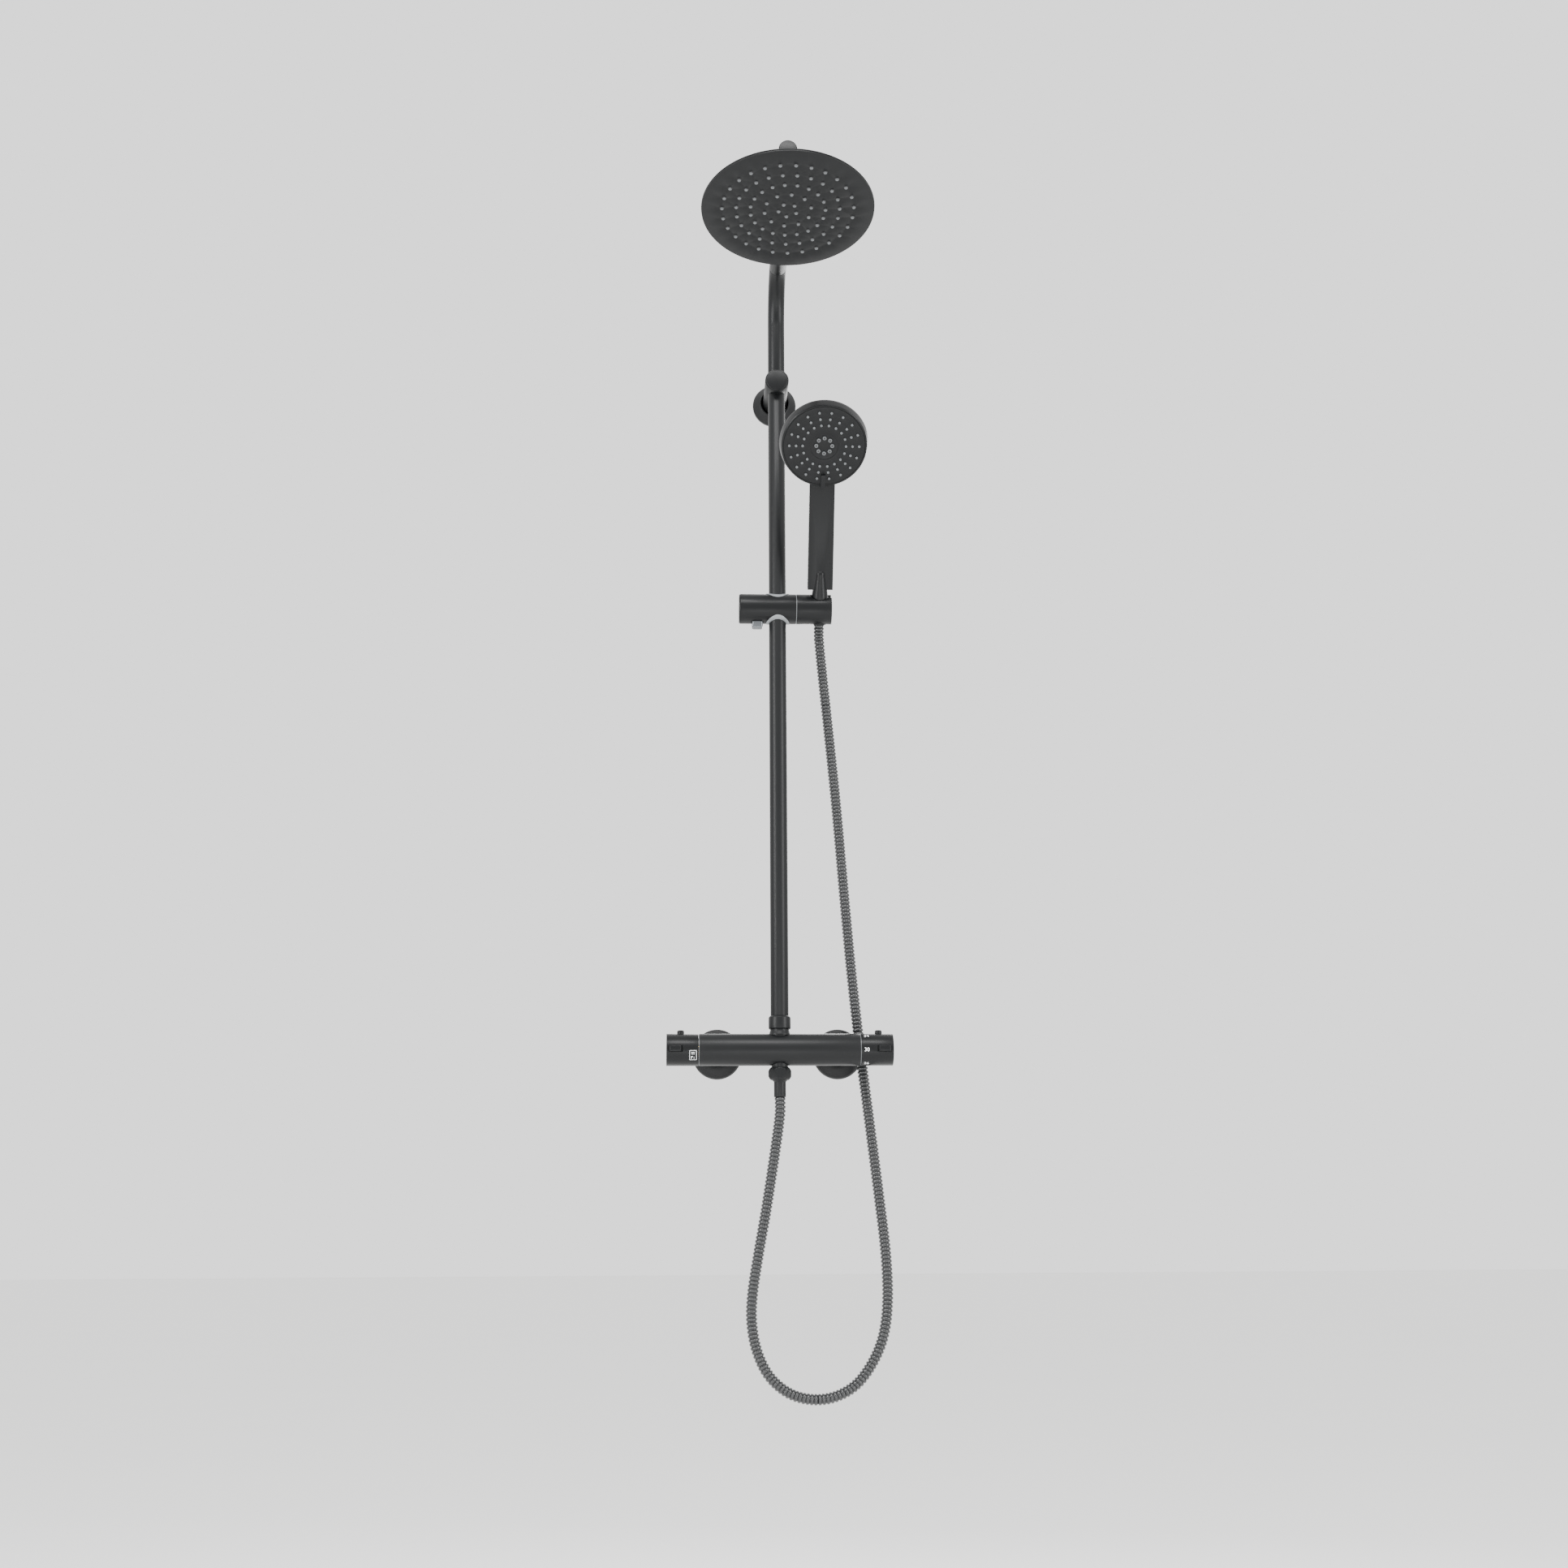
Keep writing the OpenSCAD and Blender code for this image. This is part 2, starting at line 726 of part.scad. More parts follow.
// Splined stem of a cartridge, from inside the cartridge to the knob's end wall
module spindle() {
    inside = half_bar + 0.5 + 5 - 28;
    along_bar(inside) difference() {
        cylinder(d = spindle_d, h = knob_end_x - knob_end - 1 - inside);
        translate([0, 0, knob_end_x - knob_end - 9 - inside]) cylinder(r = 2.05, h = 10);
        translate([spindle_d / 2 - 0.8, -3, 40]) cube([2, 6, 30]);
    }
}

// Push button in the front of the knob, rising towards the end
module knob_button() {
    seat = button_rise + 2.2;
    translate([knob_end_x - 3.2 - button_l, -standoff - bar_r - button_rise, -button_w / 2]) {
        linear_extrude(button_w) polygon([
            [0, seat - 2], [2, 0.6], [button_l - 1.5, 0], [button_l, 1.2],
            [button_l, seat], [0, seat]
        ]);
    }
}

module button_spring() {
    seat = bar_r - 2.2;
    hub = spindle_d / 2 + 3.5;
    translate([knob_end_x - 3.2 - button_l / 2, -standoff - hub, 0]) rotate([90, 0, 0]) {
        coil_spring(2.2, 0.4, seat - hub - button_travel - 0.1, 3);
    }
}

module thermo_knob() {
    color("#2a2c2e") knob();
}

module thermo_spindle() {
    color("#a88f4f") spindle();
}

module thermo_knob_screw() {
    color("#b8babb") knob_screw();
}

module thermo_knob_cap() {
    color("#303234") knob_cap();
}

module thermo_button() {
    color("#303234") knob_button();
}

module thermo_spring() {
    color("#c4c6c8") button_spring();
}

module flow_knob() {
    color("#2a2c2e") mirror([1, 0, 0]) knob();
}

module flow_spindle() {
    color("#a88f4f") mirror([1, 0, 0]) spindle();
}

module flow_knob_screw() {
    color("#b8babb") mirror([1, 0, 0]) knob_screw();
}

module flow_knob_cap() {
    color("#303234") mirror([1, 0, 0]) knob_cap();
}

module flow_button() {
    color("#303234") mirror([1, 0, 0]) knob_button();
}

module flow_spring() {
    color("#c4c6c8") mirror([1, 0, 0]) button_spring();
}

// Slider ------------------------------------------------------------------------

// Children stand on the slider's axis and point to the right
module along_slider(x) {
    translate([x, -standoff, slider_z]) rotate([0, 90, 0]) children();
}

module slider_body() {
    color("#26282a") difference() {
        union() {
            along_slider(-slider_left + 2) cylinder(r = slider_r, h = slider_left + slider_right - 2);
            along_slider(slider_right - 1) cylinder(r = pivot_r, h = pivot_l + 2);
        }
        translate([0, -standoff, slider_z - slider_r - 1]) {
            cylinder(r = liner_r + 0.05, h = slider_d + 2);
        }
        along_slider(-slider_left - 1) cylinder(r = 11, h = slider_left - liner_r - 3);
        along_slider(-liner_r - 6) cylinder(r = 5.2, h = 8);
        along_slider(slider_right - 6) cylinder(r = 2.6, h = 20);
        translate([button_x - 7.3, -standoff - 6.3, slider_z - slider_r - 1]) {
            cube([14.6, 12.6, slider_r]);
        }
    }
}

// Bush that runs on the riser, with saddle-shaped rims over the slider's surface
module slider_liner() {
    color("#5d6063") difference() {
        union() {
            intersection() {
                translate([0, -standoff, slider_z - slider_r - 2]) {
                    cylinder(r = liner_r, h = slider_d + 4);
                }
                along_slider(-30) cylinder(r = slider_r + 0.7, h = 60);
            }
            intersection() {
                translate([0, -standoff, slider_z - slider_r - 2]) {
                    cylinder(r = rim_r, h = slider_d + 4);
                }
                difference() {
                    along_slider(-30) cylinder(r = slider_r + 0.7, h = 60);
                    along_slider(-31) cylinder(r = slider_r + 0.05, h = 62);
                }
            }
        }
        translate([0, -standoff, slider_z - slider_r - 3]) {
            cylinder(r = riser_r + run_gap, h = slider_d + 6);
        }
        along_slider(-liner_r - 1) cylinder(r = 5.2, h = 6);
    }
}

module slider_end_cap() {
    color("#2c2e30") along_slider(-slider_left) {
        cylinder(r1 = slider_r - 1, r2 = slider_r, h = 1.9);
        cylinder(r = 11 - fit_gap, h = 6);
    }
}

module slider_friction_ring() {
    color("#6c6f72") along_slider(slider_right) ring(slider_r - 0.4, pivot_r + 0.3, 0.7);
}

module cradle_screw() {
    head_x = web_x + web_t + 0.3;
    spigot_end = slider_right + pivot_l + 1;
    color("#b8babb") difference() {
        union() {
            along_slider(slider_right - 5) cylinder(r = 2.5, h = head_x - slider_right + 6);
            along_slider(spigot_end) cylinder(r = 3.3, h = head_x - spigot_end);
            along_slider(head_x) cylinder(r = 6, h = 3);
        }
        along_slider(head_x + 1) cylinder(r = 2, h = 3, $fn = 6);
    }
}

// Sprung shoe that grips the riser through a window in the liner
module brake_shoe() {
    color("#17181a") difference() {
        along_slider(-liner_r - 8) cylinder(r = 5, h = 14);
        translate([0, -standoff, slider_z - 8]) cylinder(r = riser_r + run_gap, h = 16);
    }
}

// Spring behind the brake shoe and spring above the release button
module slider_springs() {
    foot = -slider_left + 6.2;
    color("#c4c6c8") {
        along_slider(foot) coil_spring(3.2, 0.5, -liner_r - 8.2 - foot, 5);
        translate([button_x, -standoff, slider_z - 5.9]) coil_spring(3.2, 0.5, 4.7, 3);
    }
}

module slider_button() {
    top_z = slider_z - 6 - slide_button_travel;
    foot_z = slider_z - slider_r - 7;
    color("#8a8d90") translate([button_x, -standoff, foot_z]) {
        linear_extrude(top_z - foot_z) rounded_rect(14, 12, 2.5);
    }
}

module cradle() {
    color("#26282a") difference() {
        along_slider(cradle_x) cylinder(r = slider_r, h = cradle_l);
        along_slider(cradle_x - 1) cylinder(r = pivot_r + run_gap, h = pivot_l + 1.5);
        along_slider(cradle_x) cylinder(r = 3.6, h = handset_x - cradle_x);
        along_slider(web_x + web_t) cylinder(r = 6.5, h = handset_x - web_x - web_t);
        handset_place() {
            translate([0, 0, -slider_r - 5]) {
                cylinder(r1 = cone_r(-slider_r - 5), r2 = cone_r(slider_r + 5), h = slider_d + 10);
            }
            translate([0, -slot_w / 2, -slider_r - 1]) cube([cradle_l, slot_w, slider_d + 2]);
        }
    }
}

// Handset -----------------------------------------------------------------------

// Children stand on the handset's axis: z up the handle, -y to the spray side
module handset_place() {
    translate([handset_x, -standoff, slider_z]) rotate([handle_tilt, 0, 0]) children();
}

// Children stand on the spray face: z out of the face, y up the face
module face_place() {
    handset_place() translate([0, -face_front, face_dist]) rotate([90 + face_tilt, 0, 0]) children();
}

// Handle from its foot into the head, thinner towards the head
module handle_solid(inset) {
    foot = handle_foot + inset;
    top = face_dist - hand_r + 12;
    front_foot = handle_foot_front + inset;
    front_top = handle_foot_front + handle_lean * (top - handle_foot) + inset;
    translate([-handle_w / 2 + inset, 0, 0]) rotate([90, 0, 90]) {
        linear_extrude(handle_w - 2 * inset) polygon([
            [front_foot, foot], [front_foot + handle_t - 2 * inset, foot],
            [front_top + handle_top_t - 2 * inset, top], [front_top, top]
        ]);
    }
}

module handset_shell() {
    wall = 2;
    back = hand_rim + 12;
    boss_h = 32;
    color("#26282a") difference() {
        union() {
            handset_place() {
                handle_solid(0);
                translate([0, 0, nut_top + 0.3]) cylinder(r1 = 11.3, r2 = 6.2, h = boss_h);
                translate([0, 0, nut_top + boss_h]) scale(6.3) sphere(r = 1);
            }
            face_place() rotate_extrude() polygon([
                [0, -1], [face_rim_r - 0.8, 0], [face_rim_r, -0.8], [hand_r, -hand_rim],
                [hand_r - 1, -hand_rim - 3], [hand_r - 6, -hand_rim - 6],
                [hand_r * 0.62, -back], [0, -back - 2]
            ]);
        }
        handset_place() {
            handle_solid(wall);
            translate([0, 0, nut_top - 1]) cylinder(r = hose_bore_r, h = hose_end - nut_top + 4);
            translate([0, 0, nut_top]) cylinder(r = 3.5, h = boss_h - 3);
        }
        face_place() {
            translate([0, 0, -4]) cylinder(r = face_r + travel_gap, h = 10);
            rotate_extrude() polygon([
                [0, -3], [face_r - 3, -3], [face_r - 2, -hand_rim - 1],
                [hand_r * 0.62 - 3, -back + 3], [0, -back + 1.5]
            ]);
        }
    }
}

// Fixed spray core behind the face: hub, distributor plate and face screw
module handset_spray_core() {
    color("#d0cec6") face_place() difference() {
        union() {
            translate([0, 0, -9.5]) cylinder(r = face_r - 5, h = 2.5);
            translate([0, 0, -hand_rim - 9]) cylinder(r = 9, h = hand_rim + 1);
            translate([0, 0, -9.5]) cylinder(r = 3, h = 7.1);
        }
        for (a = [0 : 120 : 240]) {
            rotate([0, 0, a]) translate([hand_r * 0.5, 0, -10]) cylinder(r = 4, h = 4);
        }
    }
}

// Turning face plate with the selector fin
module spray_face() {
    fin_in = face_r * 0.73;
    fin_out = hand_r + 1.5;
    color("#1d1f21") face_place() difference() {
        union() {
            translate([0, 0, -3.4]) cylinder(r = face_r, h = 3.4);
            translate([-fin_w / 2, -fin_out, 0.5]) cube([fin_w, fin_out - fin_in, 4.5]);
            translate([-fin_w / 2, -face_r + 2, -1]) cube([fin_w, face_r - fin_in - 2, 3]);
        }
        for (s = [0 : hand_spokes - 1], r = hand_ring_r) {
            rotate([0, 0, 90 + (s + 0.5) * 360 / hand_spokes]) translate([r, 0, -4]) {
                cylinder(r = hand_nub_r + fit_gap, h = 10);
            }
        }
        translate([0, 0, -1.2]) cylinder(r = hand_r * 0.32, h = 3);
        translate([0, 0, -4]) cylinder(r = 3 + run_gap, h = 1.8);
        for (s = [0 : core_n - 1]) {
            rotate([0, 0, s * 360 / core_n]) translate([hand_r * 0.178, 0, -4]) {
                cylinder(r = 2.6, h = 10);
            }
        }
    }
}

// Silicone mat behind the face with a nub through every hole
module spray_nozzles() {
    color("#9a9c9e") face_place() {
        difference() {
            translate([0, 0, -5]) cylinder(r = face_r - 4, h = 1.5);
            translate([0, 0, -6]) cylinder(r = 3.3, h = 4);
        }
        for (s = [0 : hand_spokes - 1], r = hand_ring_r) {
            rotate([0, 0, 90 + (s + 0.5) * 360 / hand_spokes]) translate([r, 0, -4]) {
                cylinder(r = hand_nub_r, h = 5);
            }
        }
        for (s = [0 : core_n - 1]) {
            rotate([0, 0, s * 360 / core_n]) translate([hand_r * 0.178, 0, -4]) {
                cylinder(r = 2.4, h = 4);
            }
        }
    }
}

// Conical nut on the top end of the hose, which rests in the cradle
module hose_cone_nut() {
    color("#2c2e30") handset_place() difference() {
        translate([0, 0, nut_foot]) {
            cylinder(r1 = cone_r(nut_foot) - 0.25, r2 = cone_r(nut_top) - 0.25, h = nut_top - nut_foot);
        }
        translate([0, 0, nut_foot - 1]) cylinder(r = hose_bore_r, h = nut_top - nut_foot + 2);
        translate([0, 0, nut_foot - 0.1]) cylinder(r1 = hose_bore_r + 1, r2 = hose_bore_r, h = 12);
    }
}

// Rain head ---------------------------------------------------------------------

// Children stand on the ball's centre, with -z towards the tilted spray face
module head_place() {
    translate([0, -drop_y, ball_z]) rotate([-head_tilt, 0, 0]) children();
}

// Nylon ring between the ball and the nut
module swivel_seat() {
    color("#e4e2da") head_place() rotate_extrude() difference() {
        intersection() {
            circle(r = seat_r);
            translate([0, -ball_r * 0.62]) square([socket_r, ball_r * 0.85]);
        }
        circle(r = ball_r + run_gap);
    }
}

// Upper plate of the rain head with its dome, hub and swivel nut in one
module rain_head_back() {
    hub_r = socket_r + 1;
    color("#26282a") head_place() difference() {
        rotate_extrude() polygon([
            [0, socket_top], [hub_r - 0.8, socket_top], [hub_r, socket_top - 0.8],
            [hub_r, -plate_top + 2], [hub_r + 2, -plate_top],
            [head_r * 0.5, -plate_face + head_rim + 3.5], [head_r - 1, -plate_face + head_rim],
            [head_r, -plate_face + head_rim - 1], [head_r, -plate_face + 1.7], [0, -plate_face + 1.7]
        ]);
        sphere(r = seat_r + run_gap);
        cylinder(r = ball_r - 1, h = socket_top + 1);
        translate([0, 0, socket_top - 3.5]) cylinder(r1 = ball_r - 1, r2 = ball_r + 1, h = 4);
        translate([0, 0, -plate_top - 3]) cylinder(r = 5, h = plate_top);
        translate([0, 0, -plate_face + 1.6]) rotate_extrude() polygon([
            [0, 0], [head_r - 4, 0], [head_r - 5, 1], [head_r * 0.5, 4], [12, 6.5], [0, 6.5]
        ]);
    }
}

module rain_face_holes(r, z, h) {
    for (i = [0 : head_rings - 1]) {
        for (s = [0 : rain_ring_n[i] - 1]) {
            rotate([0, 0, rain_ring_turn[i] + s * 360 / rain_ring_n[i]])
                translate([rain_ring_r[i], 0, z]) {
                cylinder(r = r, h = h);
            }
        }
    }
}

module rain_head_face() {
    color("#2a2c2e") head_place() difference() {
        translate([0, 0, -plate_face]) cylinder(r = head_r - 0.3, h = 1.5);
        rain_face_holes(rain_nub_r + fit_gap, -plate_face - 1, 4);
    }
}

// Silicone mat on top of the face plate with a nub through every hole
module rain_nozzles() {
    color("#8f9194") head_place() {
        translate([0, 0, -plate_face + 1.7]) {
            cylinder(r = head_r - 14, h = 1.2);
        }
        rain_face_holes(rain_nub_r, -plate_face - 1.4, 3.6);
    }
}

valve_body();
thermo_cartridge();
diverter_cartridge();
thermo_stop_ring();
diverter_stop_ring();
inlet_union_left();
inlet_union_right();
inlet_nut_left();
inlet_nut_right();
wall_flange_left();
wall_flange_right();
inlet_filters();
check_valves();
riser_collar();
riser_seal();
riser_pipe();
riser_joiner();
shower_arm();
arm_end_cap();
drop_outlet();
bracket_arm();
bracket_flange();
bracket_cap();
bracket_plate();
bracket_grub_screw();
hose_nut();
hose_washer();
hose_ferrule();
hose();
thermo_knob();
thermo_spindle();
thermo_knob_screw();
thermo_knob_cap();
thermo_spring();
thermo_button();
flow_knob();
flow_spindle();
flow_knob_screw();
flow_knob_cap();
flow_spring();
flow_button();
slider_body();
slider_liner();
slider_end_cap();
slider_friction_ring();
cradle_screw();
brake_shoe();
slider_springs();
slider_button();
cradle();
handset_shell();
handset_spray_core();
hose_cone_nut();
spray_face();
spray_nozzles();
swivel_seat();
rain_head_back();
rain_head_face();
rain_nozzles();
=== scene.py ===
"""Rainfall shower column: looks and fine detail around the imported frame."""
import json
import math

import bmesh
import bpy
from mathutils import Matrix, Vector


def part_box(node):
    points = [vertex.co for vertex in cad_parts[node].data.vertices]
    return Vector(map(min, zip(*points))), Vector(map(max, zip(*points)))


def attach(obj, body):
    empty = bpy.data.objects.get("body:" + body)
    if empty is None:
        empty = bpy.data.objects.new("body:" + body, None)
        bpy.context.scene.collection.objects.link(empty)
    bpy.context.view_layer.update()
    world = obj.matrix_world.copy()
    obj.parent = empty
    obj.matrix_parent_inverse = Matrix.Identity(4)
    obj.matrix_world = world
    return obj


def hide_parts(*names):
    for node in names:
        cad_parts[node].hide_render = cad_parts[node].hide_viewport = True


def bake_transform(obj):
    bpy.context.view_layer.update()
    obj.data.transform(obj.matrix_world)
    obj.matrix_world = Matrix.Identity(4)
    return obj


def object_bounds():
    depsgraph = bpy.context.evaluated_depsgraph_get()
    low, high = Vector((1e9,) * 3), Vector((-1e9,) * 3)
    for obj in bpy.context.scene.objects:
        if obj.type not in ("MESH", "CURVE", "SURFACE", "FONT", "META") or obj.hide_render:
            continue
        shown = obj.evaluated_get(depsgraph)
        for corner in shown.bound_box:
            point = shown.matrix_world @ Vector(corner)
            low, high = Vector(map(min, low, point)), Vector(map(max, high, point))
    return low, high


bl_info = {
    "name": "Rainfall Shower Column",
    "version": (1, 0, 0),
    "blender": (4, 5, 0),
    "location": "View3D > Sidebar > Shower",
    "description": "Builds the pieces and finishes of a rainfall shower column around its frame",
    "category": "Add Mesh",
}

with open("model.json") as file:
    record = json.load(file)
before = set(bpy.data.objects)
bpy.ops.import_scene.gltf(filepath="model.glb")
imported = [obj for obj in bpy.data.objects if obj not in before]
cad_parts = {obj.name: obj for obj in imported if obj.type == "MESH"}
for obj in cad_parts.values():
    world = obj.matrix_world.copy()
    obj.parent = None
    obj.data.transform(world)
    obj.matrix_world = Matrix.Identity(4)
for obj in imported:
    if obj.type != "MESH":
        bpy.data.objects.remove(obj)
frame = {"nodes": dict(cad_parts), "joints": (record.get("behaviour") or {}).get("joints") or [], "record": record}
CAD_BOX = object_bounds()

MM = 0.001
JOINTS = {joint["name"]: joint for joint in frame["joints"]}


# Places that come from the frame -------------------------------------------------------

def place(joint_name):
    """Where a joint's axis is, in the row frame."""
    return Vector(JOINTS[joint_name]["pos_m"])


def axes(origin, across, up):
    """Matrix whose x is across and whose z is up, standing at origin."""
    x = Vector(across).normalized()
    z = Vector(up).normalized()
    y = z.cross(x).normalized()
    turn = Matrix((x, y, z)).transposed()
    return Matrix.Translation(Vector(origin)) @ turn.to_4x4()


def middle(node):
    """Centre of a CAD node's box."""
    low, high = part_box(node)
    return (low + high) / 2


RIGHT = Vector((1, 0, 0))
BAR_AT = place("thermo_turn")
BAR_R = 19.25 * MM
SEAM_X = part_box("thermo_stop_ring")[1].x
CRADLE_AT = place("cradle_tilt")
HANDSET_UP = Vector(JOINTS["handset_lift"]["axis"])
HANDSET_AT = Vector((middle("hose_cone_nut").x, CRADLE_AT.y, CRADLE_AT.z))
HANDSET = axes(HANDSET_AT, RIGHT, HANDSET_UP)
FACE = axes(place("spray_turn"), RIGHT, JOINTS["spray_turn"]["axis"])
HEAD_UP = RIGHT.cross(Vector(JOINTS["rain_sway"]["axis"]))
HEAD = axes(place("rain_tilt"), RIGHT, HEAD_UP * math.copysign(1, HEAD_UP.z))
FACE_DEPTH = 37.5 * MM

# Rings of nozzles in the rain head: radius in millimetres, count, and turn in degrees
RAIN_RINGS = (
    (11.07, 5, 24.5), (27.78, 10, 24.5), (44.49, 19, 16.4), (61.19, 23, 11.4), (77.90, 27, 7.6),
)

# The hose's centreline, from the ferrule under the valve to the cradle
HOSE_START = Vector((0, -0.068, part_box("hose_ferrule")[0].z))
HOSE_ROUTE = [
    (0, -68, -75), (-3, -66, -100), (-9, -64, -140), (-17, -60, -190), (-26, -57, -240),
    (-33, -54, -285), (-34, -52, -318), (-28, -50, -350), (-14, -50, -378), (8, -49, -397),
    (34, -49, -405), (62, -49, -403), (88, -48, -390), (108, -48, -366), (122, -48, -335),
    (128, -47, -295), (127, -45, -240), (120, -42, -170), (110, -38, -80), (101, -36, 0),
    (92, -35, 90), (84, -34, 190), (75, -34, 310), (66, -35, 410), (59, -40, 480),
    (55, -48, 519),
]


# Sizes and colours ---------------------------------------------------------------------

def millimetres(name, text, size):
    """A length property whose default is in millimetres."""
    return bpy.props.FloatProperty(
        name=name, description=text, default=size * MM, min=0, subtype="DISTANCE", unit="LENGTH",
        precision=5,
    )


def linear(hex_colour):
    """Linear RGBA from an sRGB hex string."""
    channels = [int(hex_colour[i:i + 2], 16) / 255 for i in (1, 3, 5)]
    return [c / 12.92 if c <= 0.04045 else ((c + 0.055) / 1.055) ** 2.4 for c in channels] + [1.0]


def colour(name, text, hex_colour):
    """A colour property given as sRGB hex."""
    return bpy.props.FloatVectorProperty(
        name=name, description=text, default=linear(hex_colour), size=4, min=0, max=1,
        subtype="COLOR",
    )


class ShowerSizes(bpy.types.PropertyGroup):
    """Sizes of the fine detail."""
    hose: millimetres("Hose", "Outside diameter of the hose", 13.5)
    hose_pitch: millimetres("Hose pitch", "Length of one turn of the hose's interlocked strip", 4.7)
    hose_groove: millimetres("Hose groove", "Depth of the groove between two turns", 1.5)
    mark: millimetres("Mark", "Height of the printed figures on the temperature knob", 4.6)


class ShowerColours(bpy.types.PropertyGroup):
    """Colours of the finishes."""
    black: colour("Black", "Powder coat of the metal parts", "#0d0e0f")
    plastic: colour("Black plastic", "Satin plastic of the handset and the slider", "#0b0c0d")
    hose: colour("Hose", "Coated strip of the hose", "#1b1c1d")
    ring: colour("Ring", "Grey plastic of the slider's ring and bush", "#6c6f71")
    stop: colour("Stop", "Dark grey plastic of the knobs' stop rings", "#3c3e40")
    button: colour("Button", "Glossy grey of the slider's button", "#5c5f62")
    nozzle: colour("Nozzle", "Grey silicone of the spray nozzles", "#4f5153")
    print: colour("Print", "White ink of the marks", "#d9dadb")


def sizes():
    return bpy.context.scene.shower_sizes


def colours():
    return bpy.context.scene.shower_colours


# Mesh helpers --------------------------------------------------------------------------

def finish_piece(name, bm, material, body, replaces=(), sharp=38):
    """Turns a bmesh into a piece that rides on a body, with smooth faces between sharp edges."""
    for face in bm.faces:
        face.smooth = True
    for edge in bm.edges:
        edge.smooth = len(edge.link_faces) != 2 or edge.calc_face_angle(0) < math.radians(sharp)
    mesh = bpy.data.meshes.new(name)
    bm.to_mesh(mesh)
    bm.free()
    mesh.materials.append(material)
    piece = bpy.data.objects.new(name, mesh)
    bpy.context.scene.collection.objects.link(piece)
    if body:
        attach(piece, body)
    if replaces:
        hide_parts(*replaces)
    return piece


def lathe(outline, where, steps=96, edge=None, segments=3):
    """A turned shape: the outline's (radius, height) points spun about the z axis of where."""
    bm = bmesh.new()
    verts = [bm.verts.new((r, 0, z)) for r, z in outline]
    edges = [bm.edges.new(pair) for pair in zip(verts, verts[1:])]
    bmesh.ops.spin(
        bm, geom=verts + edges, cent=(0, 0, 0), axis=(0, 0, 1), dvec=(0, 0, 0),
        angle=2 * math.pi, steps=steps, use_merge=True, use_duplicate=False,
    )
    bmesh.ops.remove_doubles(bm, verts=bm.verts, dist=1e-6)
    bmesh.ops.recalc_face_normals(bm, faces=bm.faces)
    if edge:
        soften_edges(bm, edge, segments, 25)
    bmesh.ops.transform(bm, matrix=where, verts=bm.verts)
    return bm


def soften_edges(bm, width, segments=2, angle=30):
    """Rounds every edge that is sharper than the angle."""
    sharp = [
        e for e in bm.edges
        if len(e.link_faces) == 2 and e.calc_face_angle(0) > math.radians(angle)
    ]
    bmesh.ops.bevel(
        bm, geom=sharp, offset=width, offset_type="OFFSET", segments=segments, profile=0.5,
        affect="EDGES", clamp_overlap=True, material=-1, loop_slide=True,
    )


def join(target, other):
    """Adds a second bmesh to the first."""
    mesh = bpy.data.meshes.new("joined")
    other.to_mesh(mesh)
    other.free()
    target.from_mesh(mesh)
    bpy.data.meshes.remove(mesh)
    return target


def from_frame(node, width=0.4 * MM, angle=30, segments=2):
    """A copy of a CAD node's mesh, merged into clean faces with softened edges."""
    bm = bmesh.new()
    bm.from_mesh(frame["nodes"][node].data)
    bmesh.ops.remove_doubles(bm, verts=bm.verts, dist=2e-6)
    bmesh.ops.dissolve_limit(
        bm, angle_limit=math.radians(0.5), verts=bm.verts, edges=bm.edges,
    )
    if width:
        soften_edges(bm, width, segments, angle)
    bmesh.ops.triangulate(bm, faces=[f for f in bm.faces if len(f.verts) > 4])
    return bm


# Material helpers ----------------------------------------------------------------------

def add(tree, kind, links=None, **settings):
    """Adds a node: settings are its own, and links holds its sockets' values or sources."""
    made = tree.nodes.new(kind)
    for name, value in settings.items():
        setattr(made, name, value)
    for name, value in (links or {}).items():
        socket = made.inputs[name]
        if isinstance(value, bpy.types.NodeSocket):
            tree.links.new(value, socket)
        else:
            socket.default_value = value
    return made


def new_material(name):
    """An empty node material with its shader and the piece's own coordinates."""
    material = bpy.data.materials.new(name)
    material.use_nodes = True
    tree = material.node_tree
    tree.nodes.clear()
    shader = add(tree, "ShaderNodeBsdfPrincipled")
    output = add(tree, "ShaderNodeOutputMaterial")
    tree.links.new(shader.outputs["BSDF"], output.inputs["Surface"])
    where = add(tree, "ShaderNodeTexCoord").outputs["Object"]
    material.diffuse_color = (0.05, 0.05, 0.05, 1)
    return material, tree, shader, where


def spread(tree, source, low, high):
    """Maps a 0 to 1 source to a range."""
    return add(
        tree, "ShaderNodeMapRange", {"Value": source, "To Min": low, "To Max": high},
    ).outputs["Result"]


def shade(tree, source, base, darker, lighter):
    """A colour that varies a little between a darker and a lighter tone of the base."""
    dark = [c * darker for c in base[:3]] + [1]
    light = [min(1, c * lighter) for c in base[:3]] + [1]
    mix = add(tree, "ShaderNodeMix", data_type="RGBA")
    tree.links.new(source, mix.inputs["Factor"])
    mix.inputs[6].default_value = dark
    mix.inputs[7].default_value = light
    return mix.outputs[2]


